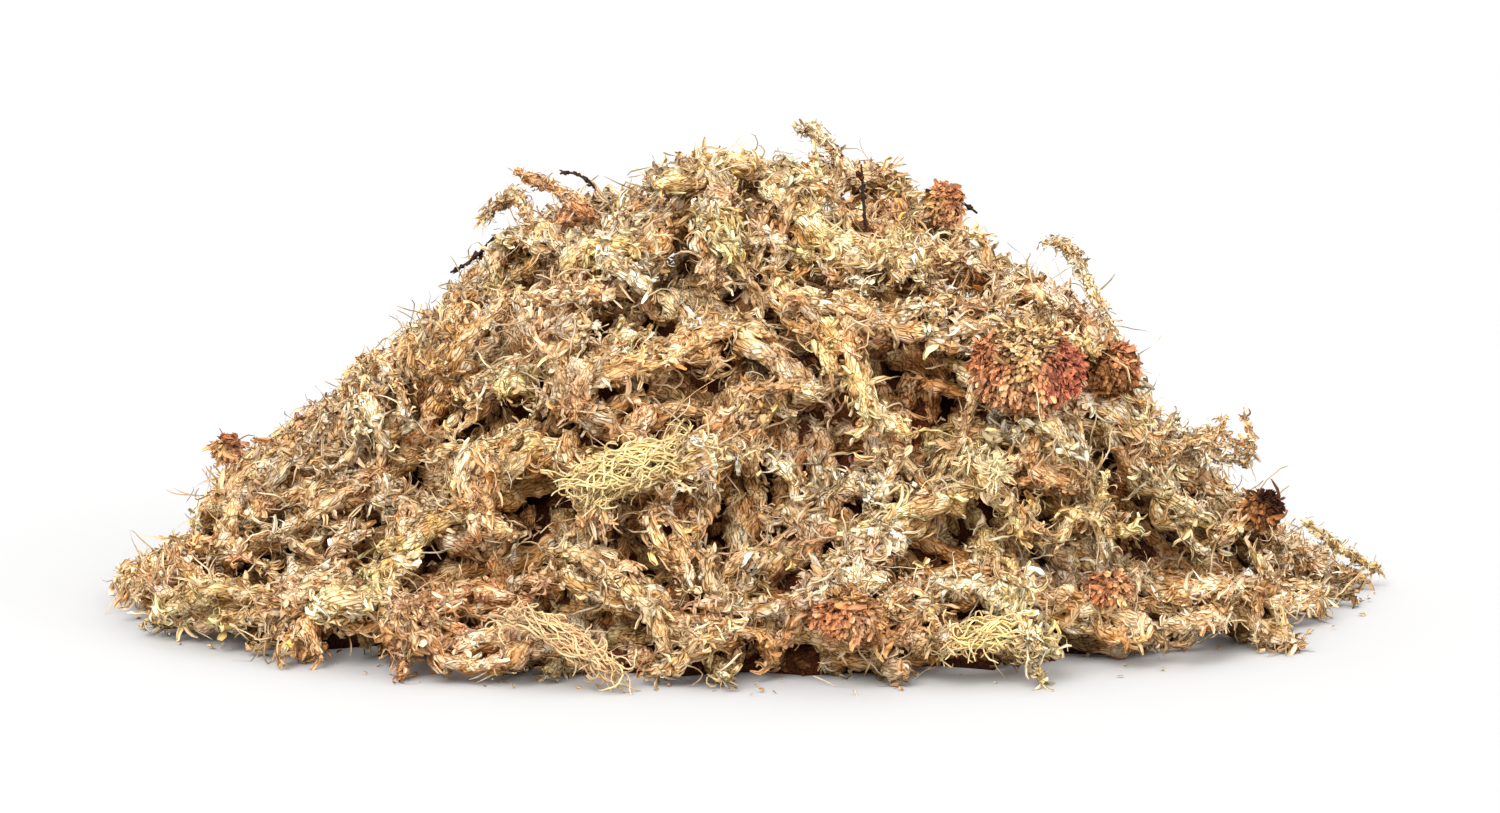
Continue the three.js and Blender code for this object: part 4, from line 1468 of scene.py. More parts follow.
def row_plan(row: BunchRow) -> list[list[Array]]:
    """Centre lines in plan of all the bunches of a row.

    Args:
        row: the row.

    Returns:
        For each bunch its lines, of which the first is the main one.
    """
    bunches = []
    for i in range(row.count):
        draw = Draws(row.seed + i)
        angle = TURN * (i + draw(-BUNCH_SHAKE, BUNCH_SHAKE)) / row.count + row.ring
        middle = on_ring(row.ring * draw(*RING_SPREAD), angle)
        heading = angle + math.pi * 0.5 * (1.0 + draw(-1.0, 1.0) * (1.0 - row.along))
        middle = keep_off_head(keep_inside(middle, row.limit), row.keeps_off_head)
        main = strand_plan(middle, heading, row.length, row, draw)
        lines = [main]
        for crossing in CROSSINGS[row.branches]:
            turn = heading + math.pi * (0.5 + draw(-BRANCH_SHAKE, BRANCH_SHAKE))
            lines.append(strand_plan(main[crossing], turn, BRANCH_LENGTH * row.length, row, draw))
        bunches.append(lines)
    return bunches


@dataclass(frozen=True)
class Patch:
    """A place where the moss has a colour of its own."""

    x: float
    z: float
    reach: float
    tint: Tint


PATCHES = (
    Patch(-78.0, 10.0, 20.0, Tint.SALMON),
    Patch(-96.0, 32.0, 20.0, Tint.TAUPE),
    Patch(36.0, 64.0, 18.0, Tint.SALMON),
    Patch(-33.0, 95.0, 18.0, Tint.CREAM),
)
COMMON_TINTS = (*[Tint.STRAW] * 3, *[Tint.CREAM] * 2, Tint.YELLOW, *[Tint.TAN] * 2)


PATCH_DEPTH = 20.0
ROPE_LIGHT = (0.88, 1.12)


def rope_tints(middle: Array, rng: Rng) -> tuple[Array, Array]:
    """Two tints for a rope.

    Args:
        middle: where the rope is.
        rng: draws among the tints.

    Returns:
        The two linear colours.
    """
    first, second = (COMMON_TINTS[rng.integers(len(COMMON_TINTS))] for _ in range(2))
    if middle[1] < PATCH_DEPTH:
        for patch in PATCHES:
            if math.hypot(middle[0] - patch.x, middle[2] - patch.z) < patch.reach:
                first = patch.tint
    light = rng.uniform(*ROPE_LIGHT)
    return first.linear() * light, second.linear() * light


def wandering(line: Array, amount: float, rng: Rng) -> Array:
    """A line whose points wander off it.

    Args:
        line: its points.
        amount: how far they wander.
        rng: draws the ways.

    Returns:
        The new points.
    """
    wander = smooth(rng.normal(0.0, 1.0, line.shape), 3)
    return line + amount * wander / max(float(wander.std()), 1e-6)


@dataclass
class Bunch:
    """A bunch of leafy ropes that stands for one solid."""

    node: str
    plans: list[Array]
    seed: int
    step: float = 2.6
    plies: int = 2
    ply_offset: float = 2.1
    ply_radius: Pair = (2.5, 3.4)
    thin_strands: int = 1
    clump_spacing: float = 15.0
    thin_radius: Pair = (1.2, 1.9)
    pitch: Pair = (45.0, 80.0)
    parting: Pair = (0.0, 0.8)
    wander: float = 2.0
    new_tint: float = 0.4
    ropes: list[Rope] = field(default_factory=list)

    def grow(self) -> None:
        """Lays out the bunch's ropes inside its solid."""
        rng = default_rng(self.seed)
        solid = Solid([self.node])
        lines = [solid.course(through(plan, self.step) + PLAN_SHIFT) for plan in self.plans]
        for line in lines:
            phase = rng.uniform(0.0, TURN)
            tints = rope_tints(line[len(line) // 2], rng)
            pitch = rng.uniform(*self.pitch)
            for ply in range(self.plies):
                radius = rng.uniform(*self.ply_radius)
                middle = Course(wandering(line, self.wander, rng))
                start = phase + TURN * ply / self.plies
                course = middle.twisted(self.ply_offset, start, pitch, rng.uniform(*self.parting))
                cut = rng.integers(0, 3)
                points = course.points[cut : len(course.points) - cut]
                if ply and rng.uniform() < self.new_tint:
                    tints = rope_tints(line[len(line) // 2], rng)
                self.ropes.append(Rope(Course(settled(points, radius)), radius, *tints))
        for rope in list(self.ropes):
            count = int(rope.course.length / self.clump_spacing)
            self.ropes += [rope.side_clump(rng) for _ in range(count)]
        for _ in range(self.thin_strands):
            self.ropes.append(self._thin(lines[rng.integers(len(lines))], rng))

    def _thin(self, line: Array, rng: Rng) -> Rope:
        """Lays out a thin strand that strays over one of the bunch's lines.

        Args:
            line: the line.
            rng: draws its part of the line and its bends.

        Returns:
            The strand.
        """
        start = rng.integers(0, max(1, len(line) // 3))
        part = line[start : start + max(8, len(line) * 2 // 3)].copy()
        share = np.linspace(-1.0, 1.0, len(part))
        part = part + np.array([rng.uniform(-5.0, 5.0), rng.uniform(-5.0, 5.0), 0.0])
        part[:, 2] += rng.uniform(0.5, 3.0) + 1.5 * rng.uniform(0.0, 1.0) * share**2
        radius = rng.uniform(*self.thin_radius)
        tints = rope_tints(part[len(part) // 2], rng)
        points = settled(wandering(part, 1.6, rng), radius)
        return Rope(Course(points), radius, *tints, curly=1.4, strings=0.5)

    def build(self, daylight: Daylight) -> None:
        """Makes the piece."""
        make_ropes(self.ropes, daylight, self.seed + 1, f"{self.node}_ropes", self.node)


# ---- the heart ----


@dataclass
class Heart:
    """The matted heart: a leafy skin tinted dark as painted shade, and the inner ropes, darkened as painted
    shade, that show between the bunches.
    """

    count: int = 290
    quarters: int = 4
    step: float = 3.0
    length: Pair = (34.0, 66.0)
    radius: Pair = (2.8, 4.0)
    # share of lightness that the inner ropes keep, as painted shade
    dim: Pair = (0.55, 0.95)
    crowding: float = 0.42
    lift: float = 0.6
    skin_density: float = 0.1
    seed: int = 71
    solid: Solid = field(default_factory=lambda: Solid(["heart_tangle"]))
    ropes: list[tuple[int, Rope]] = field(default_factory=list)

    def grow(self) -> None:
        """Drapes the inner ropes over the heart's solid."""
        rng = default_rng(self.seed)
        for i in range(self.count):
            share = ((i + 0.5) / self.count) ** self.crowding
            angle = GOLDEN * i
            out = (HEART_HALF_WIDTH * share * math.cos(angle), HEART_HALF_DEPTH * share * math.sin(angle))
            line = self._line(np.array(out), angle, rng)
            if line is None:
                continue
            radius = rng.uniform(*self.radius)
            line[:, 2] += self.lift * radius
            first, second = rope_tints(line[len(line) // 2], rng)
            # painted shade: inner ropes under the bunches get darker copies of their tints
            dim = rng.uniform(*self.dim)
            rope = Rope(Course(settled(line, radius)), radius, dim * first, dim * second)
            self.ropes.append((int(self.quarters * (angle % TURN) / TURN), rope))

    def build(self, daylight: Daylight) -> None:
        """Makes the skin, and the ropes a quarter of the heap to a piece.

        Args:
            daylight: tells what shows.
        """
        self._build_skin(daylight)
        rng = default_rng(self.seed + 1)
        meshes = [MossMesh() for _ in range(self.quarters)]
        for quarter, rope in self.ropes:
            rope.dress(meshes[quarter], daylight, rng)
        for number, mesh in enumerate(meshes, start=1):
            make_piece(mesh, f"heart_ropes_{number}", STRAW_FINISH, "heart_tangle")

    def _line(self, middle: Array, angle: float, rng: Rng) -> Array | None:
        """A line on the heart's surface.

        Args:
            middle: its middle in plan.
            angle: direction from the heap's middle to it.
            rng: draws its way and bends.

        Returns:
            Its points, or nothing where the heart doesn't reach.
        """
        heading = angle + rng.uniform(-1.5, 1.5)
        reach = 0.5 * rng.uniform(*self.length)
        along, aside = plan_axes(heading)
        share = np.linspace(-1.0, 1.0, max(8, int(2.0 * reach / self.step)))
        bow = rng.uniform(-0.5, 0.5) * share**2 + 0.15 * np.sin(4.0 * share + rng.uniform(0.0, TURN))
        plan = middle + PLAN_SHIFT + reach * (share[:, None] * along + bow[:, None] * aside)
        tops = self.solid.tops(plan)
        if np.isnan(tops).mean() > 0.5:
            return None
        heights = smooth(np.nan_to_num(tops, nan=0.0), 3)
        return wandering(np.column_stack([plan, heights]), 0.9, rng)

    def _build_skin(self, daylight: Daylight) -> None:
        """Makes the skin under the ropes, with leaves on it, both tinted dark as painted shade.

        Args:
            daylight: tells what shows.
        """
        rng = default_rng(self.seed + 2)
        work = bmesh.new()
        work.from_mesh(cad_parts["heart_tangle"].data)
        bmesh.ops.remove_doubles(work, verts=work.verts, dist=0.01 * MM)
        bmesh.ops.triangulate(work, faces=work.faces)
        work.normal_update()
        points = np.array([tuple(vertex.co) for vertex in work.verts]) / MM
        normals = np.array([tuple(vertex.normal) for vertex in work.verts])
        faces = np.array([[vertex.index for vertex in face.verts] for face in work.faces])
        work.free()
        above = points[:, 2] > 1.0
        points[above] += normals[above] * rng.normal(-0.8, 0.7, above.sum())[:, None]
        mesh = MossMesh()
        # painted shade: the skin is tinted dark umber for the depths of the heap
        tints = shaken(np.tile(Tint.UMBER.linear(), (len(points), 1)), 0.3, rng)
        spots = (points[:, :2] - points[:, :2].min(0)) / np.ptp(points[:, :2], axis=0).max()
        mesh.add(points[None], tints[None], faces, spots, points[None])
        sprouts = self._skin_sprouts(points, faces, rng)
        openness = daylight.openness(sprouts.feet)
        seen = sprouts.kept(rng.uniform(0.0, 1.0, len(sprouts)) < 9.0 * openness)
        add_flakes(mesh, seen, (2.0, 4.0), rng)
        make_piece(mesh, "heart_skin", HEART_FINISH, "heart_tangle")

    def _skin_sprouts(self, points: Array, faces: Array, rng: Rng) -> Sprouts:
        """Places for leaves, evenly spread over the skin's area.

        Args:
            points: the skin's points.
            faces: its triangles.
            rng: draws the places.

        Returns:
            The sprouts.
        """
        corners = points[faces]
        normals = np.cross(corners[:, 1] - corners[:, 0], corners[:, 2] - corners[:, 0])
        areas = 0.5 * np.linalg.norm(normals, axis=1)
        chosen = rng.choice(len(faces), int(self.skin_density * areas.sum()), p=areas / areas.sum())
        chosen = chosen[corners[chosen, :, 2].mean(1) > 1.0]
        weights = rng.dirichlet((1.0, 1.0, 1.0), len(chosen))
        feet = np.sum(corners[chosen] * weights[:, :, None], 1)
        outward = unit(normals[chosen])
        ways = unit(np.cross(outward, unit(rng.normal(size=outward.shape))))
        mix = rng.uniform(0.0, 1.0, (len(chosen), 1))
        # painted shade: the skin's leaves are tinted dark brown to umber for the depths of the heap
        tints = 0.7 * Tint.BROWN.linear() * mix + Tint.UMBER.linear() * (1.0 - mix)
        return Sprouts(feet, ways, outward, shaken(tints, 0.25, rng))


# ---- heads ----


@dataclass(frozen=True)
class Lobe:
    """A lobe of a head, by its middle in the head's own breadths, seen from the front."""

    x: float
    z: float
    tint: Tint


@dataclass
class Head:
    """A head: a low dome crowded with rounded leaves that hang down in lobes."""

    node: str
    finish: MossFinish
    lobes: tuple[Lobe, ...]
    seed: int
    crowd: float = 2.0
    leaf: Pair = (1.3, 2.4)
    crinkled: float = 0.08
    lump: float = 0.1
    size: float = 1.0
    reach: float = 0.86
    depth: float = 0.22
    # widest gap between lobes that is dented and given painted shade
    shaded_crease: float = 0.35
    raggedness: float = 0.14
    scatter: float = 0.5
    lean: float = 0.7
    dome: float = 0.66
    dome_sides: int = 14

    def build(self) -> None:
        """Makes the piece."""
        rng = default_rng(self.seed)
        low, high = box_corners(self.node)
        middle, half = 0.5 * (low + high), 0.5 * self.size * (high - low)
        mesh = MossMesh()
        self._add_dome(mesh, middle, half)
        count = int(self.crowd * 4.0 * math.pi * float(half[0] * half[2] + half[0] * half[1]) * 0.5)
        outward = unit(rng.normal(size=(count, 3)))
        sprouts = self._crowded(middle, half, outward, rng)
        add_flakes(mesh, sprouts, self.leaf, rng)
        CRINKLED_LEAF.add(mesh, sprouts.kept(rng.uniform(0.0, 1.0, count) < self.crinkled), rng)
        make_piece(mesh, f"{self.node}_rosette", self.finish, self.node)

    def _crowded(self, middle: Array, half: Array, outward: Array, rng: Rng) -> Sprouts:
        """Places for the leaves, lumpy by lobe, with painted shade on sunk leaves and where lobes meet.

        Args:
            middle: the head's middle.
            half: its half sizes.
            outward: directions from its middle.
            rng: draws the depths.

        Returns:
            The sprouts.
        """
        centres = np.array([[lobe.x, lobe.z] for lobe in self.lobes])
        wobble = self.raggedness * rng.normal(size=(len(outward), 1, 2))
        apart = np.linalg.norm(outward[:, None, [0, 2]] + wobble - centres[None], axis=2)
        nearest = apart.argmin(1)
        ordered = np.sort(apart, axis=1)
        shaded_crease = (ordered[:, 1] - ordered[:, 0]).clip(0.0, self.shaded_crease)
        lumps = np.sin(9.0 * outward[:, 0] + 4.0 * outward[:, 2]) * np.sin(8.0 * outward[:, 1] + 2.0)
        depth = rng.uniform(0.0, self.depth, len(outward))
        reach = self.reach - depth + self.lump * lumps + 0.3 * (shaded_crease - 0.2)
        down = np.array([0.0, -0.25, -1.0])
        ways = down - outward * (outward @ down)[:, None] + self.scatter * rng.normal(size=outward.shape)
        ways = unit(unit(ways) + self.lean * outward)
        tints = np.array([lobe.tint.linear() for lobe in self.lobes])[nearest]
        # painted shade: sunk leaves and leaves where lobes meet are darker, leaves on the lumps lighter
        shade = (1.0 - 1.8 * depth + 0.3 * lumps) * (0.7 + 1.1 * shaded_crease).clip(0.0, 1.0)
        tints = shaken(tints * shade[:, None], 0.22, rng)
        return Sprouts(middle + outward * half * reach[:, None], ways, outward, tints)

    def _add_dome(self, mesh: MossMesh, middle: Array, half: Array) -> None:
        """Adds the dome that the leaves stand on, darkened as painted shade.

        Args:
            mesh: takes the dome.
            middle: the head's middle.
            half: its half sizes.
        """
        stations = np.linspace(-0.8, 0.8, 9)
        line = middle + stations[:, None] * np.array([0.0, 0.0, 0.86 * half[2]])
        radii = self.dome * 0.5 * (half[0] + half[1]) * np.sqrt(1.0 - stations**2)
        # painted shade: the dome wears the first lobe's tint at 0.35 of its lightness
        tints = np.tile(0.35 * self.lobes[0].tint.linear(), (len(stations), self.dome_sides, 1))
        mesh.add_tube(Course(line), np.repeat(radii[:, None], self.dome_sides, 1), tints)


@dataclass
class StarHead:
    """A pale head that has opened to a star of thin curly strands."""

    node: str
    seed: int
    strands: int = 150
    lift: float = 4.0
    kind: Curl = Curl((3.0, 6.0), (0.45, 0.75), 2.6, steps=6, lean=(-0.2, 0.5), taper=0.5)
    bleach: tuple[float, float, float] = (0.96, 1.0, 0.86)

    def build(self) -> None:
        """Makes the piece."""
        rng = default_rng(self.seed)
        low, high = box_corners(self.node)
        middle = 0.5 * (low + high) + self.lift * UP
        ways = unit(rng.normal(size=(self.strands, 3)) + np.array([0.0, -0.5, 0.15]))
        tints = np.tile(Tint.CREAM.linear(), (self.strands, 1)) * np.array(self.bleach)
        tints = shaken(tints, 0.14, rng)
        outward = unit(np.cross(ways, rng.normal(size=ways.shape)))
        mesh = MossMesh()
        self.kind.add(mesh, Sprouts(middle + ways * 1.2, ways, outward, tints), rng)
        make_piece(mesh, f"{self.node}_strands", FIBRE_FINISH, self.node)


# ---- bundles, sprigs and twigs ----


@dataclass
class FibreBundle:
    """A stringy bundle of bare wavy fibres that curl up at both ends."""

    node: str
    seed: int
    fibres: int = 110
    half: Pair = (0.24, 0.36)
    stations: int = 16
    tint: Tint = Tint.YELLOW
    breadth: float = 0.36
    start: Pair = (-0.08, 0.5)
    span: Pair = (0.4, 0.75)
    overrun: float = 0.08
    beat: Pair = (0.1, 0.5)
    sway: float = 0.7
    quick: Pair = (0.5, 1.7)
    wave: float = 0.6
    hook: Curl = Curl((4.0, 9.0), (0.5, 0.64), 4.4, steps=7, lean=(-0.3, 0.6), taper=0.25, is_round=True)

    def build(self) -> None:
        """Makes the piece."""
        rng = default_rng(self.seed)
        solid = Solid([self.node])
        extent = np.ptp(solid.points, axis=0)
        course = Course(through(solid.spine(*self._ends(solid.points), 7), 2.0))
        breadth = self.breadth * extent[:2].min()
        start = rng.uniform(*self.start, self.fibres)
        span = rng.uniform(*self.span, self.fibres)
        share = start[:, None] + span[:, None] * np.linspace(0.0, 1.0, self.stations)
        distance = (share.clip(-self.overrun, 1.0 + self.overrun) * course.length).ravel()
        angle = np.repeat(rng.uniform(0.0, TURN, self.fibres), self.stations)
        beat = np.repeat(rng.uniform(*self.beat, self.fibres), self.stations)
        start_beat = np.repeat(rng.uniform(0.0, TURN, self.fibres), self.stations)
        angle = angle + self.sway * np.sin(beat * distance + start_beat)
        centre, tangent, outward = course.at(distance, angle)
        over = (distance - distance.clip(0.0, course.length))[:, None]
        away = breadth * np.repeat(np.sqrt(rng.uniform(0.05, 1.0, self.fibres)), self.stations)
        quick = np.repeat(rng.uniform(*self.quick, self.fibres), self.stations)
        wave = self.wave * np.sin(quick * distance + 2.0 * start_beat)
        points = centre + tangent * over + outward * (away + wave)[:, None] * np.array([1.0, 1.0, 0.7])
        points = points + rng.normal(0.0, 0.12, points.shape)
        lines = points.reshape(self.fibres, self.stations, 3)
        base = shaken(np.tile(self.tint.linear(), (self.fibres, 1)), 0.12, rng)
        # painted shade: fibres nearer the bundle's middle are darker, the outer ones lighter
        base = base * (0.62 + 0.5 * away[:: self.stations, None] / breadth)
        across = unit(np.cross(np.gradient(lines, axis=1), UP))
        thick = np.repeat(rng.uniform(*self.half, self.fibres)[:, None], self.stations, 1)
        mesh = MossMesh()
        add_lines(mesh, lines, across, thick, np.repeat(base[:, None], self.stations, 1), True)
        for end, before in ((0, 1), (-1, -2)):
            ways = unit(lines[:, end] - lines[:, before])
            outside = unit(np.cross(ways, rng.normal(size=ways.shape)))
            self.hook.add(mesh, Sprouts(lines[:, end], ways, outside, base), rng)
        make_piece(mesh, f"{self.node}_strings", FIBRE_FINISH, self.node)

    def _ends(self, points: Array) -> tuple[Array, Array]:
        """Finds where the solid starts and ends.

        Args:
            points: the solid's points.

        Returns:
            Two places in plan on its long axis.
        """
        plan = points[:, :2]
        middle = plan.mean(0)
        way = np.linalg.svd(plan - middle, full_matrices=False)[2][0]
        reach = (plan - middle) @ way
        return middle + way * reach.min(), middle + way * reach.max()


@dataclass
class Sprig:
    """A thin leafy sprig that stands out of the heap."""

    node: str
    first: Pair
    last: Pair
    radius: float
    tints: tuple[Tint, Tint]
    seed: int
    rise: float = 0.0
    stations: int = 9
    rope: Rope | None = None

    def grow(self) -> None:
        """Lays out the sprig's rope along its solid."""
        solid = Solid([self.node])
        ends = (np.array(self.first) + PLAN_SHIFT, np.array(self.last) + PLAN_SHIFT)
        points = through(solid.spine(*ends, self.stations), 1.2)
        points[:, 2] += self.rise * np.linspace(0.0, 1.0, len(points)) ** 1.3
        parts = {"crinkled": 6.0, "flakes": 6.0, "curly": 3.0, "strings": 0.5, "end": 8.0, "leaf_size": 0.55}
        self.rope = Rope(Course(points), self.radius, *[tint.linear() for tint in self.tints], **parts)

    def build(self, daylight: Daylight) -> None:
        """Makes the piece."""
        make_ropes([self.rope], daylight, self.seed, f"{self.node}_leaves", self.node)


@dataclass
class Spray:
    """A see-through spray of thin leafy strands that curl over one another."""

    node: str
    seed: int
    strands: int = 8
    radius: Pair = (0.7, 1.1)
    ropes: list[Rope] = field(default_factory=list)

    def grow(self) -> None:
        """Lays out the strands inside the spray's box."""
        rng = default_rng(self.seed)
        low, high = box_corners(self.node)
        foot = np.array([low[0] + 3.0, 0.5 * (low[1] + high[1]), low[2] + 2.0])
        high[0] -= 4.0
        for _ in range(self.strands):
            ends = [foot + rng.normal(0.0, 2.0, 3)] + [rng.uniform(low + 1.0, high - 1.0) for _ in range(3)]
            ends = [ends[0], *sorted(ends[1:], key=lambda place: float(np.linalg.norm(place - foot)))]
            radius = rng.uniform(*self.radius)
            course = Course(wandering(through(np.stack(ends), 1.6), 0.6, rng))
            tints = rope_tints(ends[1], rng)
            self.ropes.append(
                Rope(course, radius, *tints, crinkled=4.0, flakes=4.0, curly=3.0, end=9.0, leaf_size=0.55)
            )

    def build(self, daylight: Daylight) -> None:
        """Makes the piece."""
        make_ropes(self.ropes, daylight, self.seed + 1, f"{self.node}_strands", self.node)


@dataclass
class Twig:
    """A thin dark twig with the stubs of its side shoots."""

    node: str
    first: Pair
    last: Pair
    seed: int
    radius: float = 0.5
    arch: float = 1.0
    rise: float = 0.0
    stubs: int = 14
    sides: int = 8

    def build(self) -> None:
        """Makes the piece."""
        rng = default_rng(self.seed)
        solid = Solid([self.node])
        ends = (np.array(self.first) + PLAN_SHIFT, np.array(self.last) + PLAN_SHIFT)
        points = through(solid.spine(*ends, 6), 0.8)
        count = len(points)
        level = np.linspace(points[0, 2], points[-1, 2] + self.rise, count)
        straight = np.linspace(points[0, 2], points[-1, 2], count)
        points[:, 2] = level + self.arch * (points[:, 2] - straight)
        course = Course(points)
        radii = self.radius * np.linspace(1.05, 0.6, count)[:, None]
        radii = radii * rng.uniform(0.85, 1.15, (count, self.sides))
        mesh = MossMesh()
        bark = shaken(np.tile(Tint.BARK.linear(), (count, 1)), 0.25, rng)
        mesh.add_tube(course, radii, np.repeat(bark[:, None], self.sides, 1))
        distance = rng.uniform(0.1, 0.95, self.stubs) * course.length
        centre, tangent, outward = course.at(distance, rng.uniform(0.0, TURN, self.stubs))
        tints = shaken(np.tile(Tint.UMBER.linear(), (self.stubs, 1)), 0.2, rng)
        add_flakes(mesh, Sprouts(centre, tangent, outward, tints), (1.6, 3.0), rng)
        make_piece(mesh, f"{self.node}_bark", TWIG_FINISH, self.node)


@dataclass
class LooseStrands:
    """Single hairs and stray thin ropes that lie over the whole heap."""

    hairs: int = 160
    strays: int = 22
    reach: Pair = (10.0, 24.0)
    radius: Pair = (1.2, 2.0)
    seed: int = 801
    surface: Solid = field(default_factory=lambda: Solid(sorted(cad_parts)))
    ropes: list[Rope] = field(default_factory=list)

    def grow(self) -> None:
        """Lays out the stray ropes."""
        rng = default_rng(self.seed)
        for i in range(self.strays):
            line = self._line(i, rng.uniform(*self.reach), rng)
            radius = rng.uniform(*self.radius)
            line[:, 2] += 0.3 * radius
            tints = rope_tints(line[len(line) // 2], rng)
            self.ropes.append(Rope(Course(settled(line, radius)), radius, *tints, curly=1.5, strings=0.6))

    def build(self, daylight: Daylight) -> None:
        """Makes the two pieces.

        Args:
            daylight: tells what shows.
        """
        rng = make_ropes(self.ropes, daylight, self.seed + 1, "stray_strands")
        mesh = MossMesh()
        LOOSE_HAIR.add(mesh, self._hair_sprouts(rng), rng)
        make_piece(mesh, "loose_hairs", FIBRE_FINISH)

    def _hair_sprouts(self, rng: Rng) -> Sprouts:
        """Places for the hairs, evenly spread over the heap.

        Args:
            rng: draws their ways and tints.

        Returns:
            The sprouts.
        """
        number = np.arange(self.hairs)
        share = 0.95 * np.sqrt((number + 0.5) / self.hairs)
        angle = GOLDEN * number
        out = np.stack([HALF_WIDTH * np.cos(angle), HALF_DEPTH * np.sin(angle)], 1)
        plan = out * share[:, None] + PLAN_SHIFT
        heights = np.nan_to_num(self.surface.tops(plan), nan=1.0)
        outward = unit(np.column_stack([out / HALF_WIDTH, np.full(self.hairs, 0.8)]))
        ways = unit(np.cross(outward, rng.normal(size=outward.shape)))
        kinds = np.array([tint.linear() for tint in (Tint.CREAM, Tint.TAN, Tint.BROWN, Tint.GREY)])
        tints = kinds[rng.choice(4, self.hairs, p=(0.6, 0.25, 0.1, 0.05))]
        feet = settled(np.column_stack([plan, heights + 0.5]), 2.0)
        return Sprouts(feet, ways, outward, shaken(tints, 0.12, rng))

    def _line(self, number: int, reach: float, rng: Rng) -> Array:
        """A line that lies over the heap's surface.

        Args:
            number: its place in the order.
            reach: half of its length.
            rng: draws its way and bends.

        Returns:
            Its points.
        """
        middle = on_ring(0.93 * math.sqrt((number + 0.5) / self.strays), GOLDEN * number)
        heading = rng.uniform(0.0, TURN)
        along, aside = plan_axes(heading)
        t = np.linspace(-1.0, 1.0, 15)
        bow = rng.uniform(-0.8, 0.8) * t**2 + rng.uniform(0.0, 0.3) * np.sin(5.0 * t + rng.uniform(0, TURN))
        plan = middle + reach * (t[:, None] * along + bow[:, None] * aside)
        plan = np.array([keep_inside(point, 0.97) for point in plan]) + PLAN_SHIFT
        heights = smooth(np.nan_to_num(self.surface.tops(plan), nan=0.0), 2)
        return np.column_stack([plan, np.maximum(heights, 1.5)])


@dataclass(frozen=True)
class Trace:
    """A strand of the heap's front, by places to the right of the middle and above the floor's far edge."""

    places: tuple[Pair, ...]
    radius: float
    first: Tint
    second: Tint


@dataclass
class FrontStrands:
    """The thick strands that lie on top at the front."""

    traces: tuple[Trace, ...]
    seed: int = 977
    overlap: float = 0.9
    depth: float = 14.0
    clump_spacing: float = 14.0
    surface: Solid = field(default_factory=lambda: Solid(sorted(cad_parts)))
    ropes: list[Rope] = field(default_factory=list)

    def grow(self) -> None:
        """Lays the strands on the heap as its front shows them."""
        rng = default_rng(self.seed)
        for trace in self.traces:
            knots = np.array([self._laid(x, height, trace.radius) for x, height in trace.places])
            knots[:, 1] = np.minimum(knots[:, 1], knots[:, 1].min() + self.depth)
            points = through(knots, 2.0)
            points[:, 2] = np.maximum(points[:, 2], trace.radius + 0.3)
            course = Course(wandering(points, 0.4, rng))
            tints = (trace.first.linear(), trace.second.linear())
            rope = Rope(course, trace.radius, *tints, crinkled=3.0, curly=1.2, strings=0.3, end=7.0)
            count = int(course.length / self.clump_spacing)
            self.ropes += [rope, *(rope.side_clump(rng) for _ in range(count))]

    def _laid(self, x: float, height: float, radius: float) -> tuple[float, float, float]:
        """Finds what the heap's front shows at a place.

        Args:
            x: how far it is to the right.
            height: how far it is above the floor's far edge.
            radius: of the strand that lies there.

        Returns:
            The place on the heap or on the floor.
        """
        away, rise = math.cos(VIEW_PITCH), math.sin(VIEW_PITCH)
        eye = np.array([0.0, -VIEW_DISTANCE * away, VIEW_AIM + VIEW_DISTANCE * rise])
        over = height - VIEW_AIM * away
        way = unit(np.array([x, -over * rise, VIEW_AIM + over * away]) - eye)
        hit = self.surface.tree.ray_cast(Vector(eye), Vector(way))[0]
        floor = eye + way * ((eye[2] - radius) / -way[2])
        place = floor if hit is None else np.array(hit) - way * self.overlap * radius
        return tuple(place) if place[2] > radius else tuple(floor)

    def build(self, daylight: Daylight) -> None:
        """Makes the piece."""
        make_ropes(self.ropes, daylight, self.seed + 1, "front_strands")


@dataclass
class Crumbs:
    """Broken leaf tips that lie round the foot of the heap."""

    count: int = 170
    seed: int = 905

    def build(self) -> None:
        """Makes the piece."""
        rng = default_rng(self.seed)
        angle = rng.uniform(0.0, TURN, self.count)
        share = rng.uniform(0.88, 1.0, self.count)
        x, y = HALF_WIDTH * share * np.cos(angle), HALF_DEPTH * share * np.sin(angle)
        plan = np.stack([x, y], 1)
        feet = np.column_stack([plan + PLAN_SHIFT, rng.uniform(0.3, 0.9, self.count)])
        heading = rng.uniform(0.0, TURN, self.count)
        ways = np.stack([np.cos(heading), np.sin(heading), np.full(self.count, 0.05)], 1)
        kinds = rng.integers(len(COMMON_TINTS), size=self.count)
        tints = np.array([COMMON_TINTS[kind].linear() for kind in kinds])
        sprouts = Sprouts(feet, unit(ways), np.tile(UP, (self.count, 1)), shaken(tints, 0.2, rng))
        mesh = MossMesh()
        add_flakes(mesh, sprouts, (0.8, 2.4), rng)
        make_piece(mesh, "foot_crumbs", STRAW_FINISH)


# ---- the studio ----


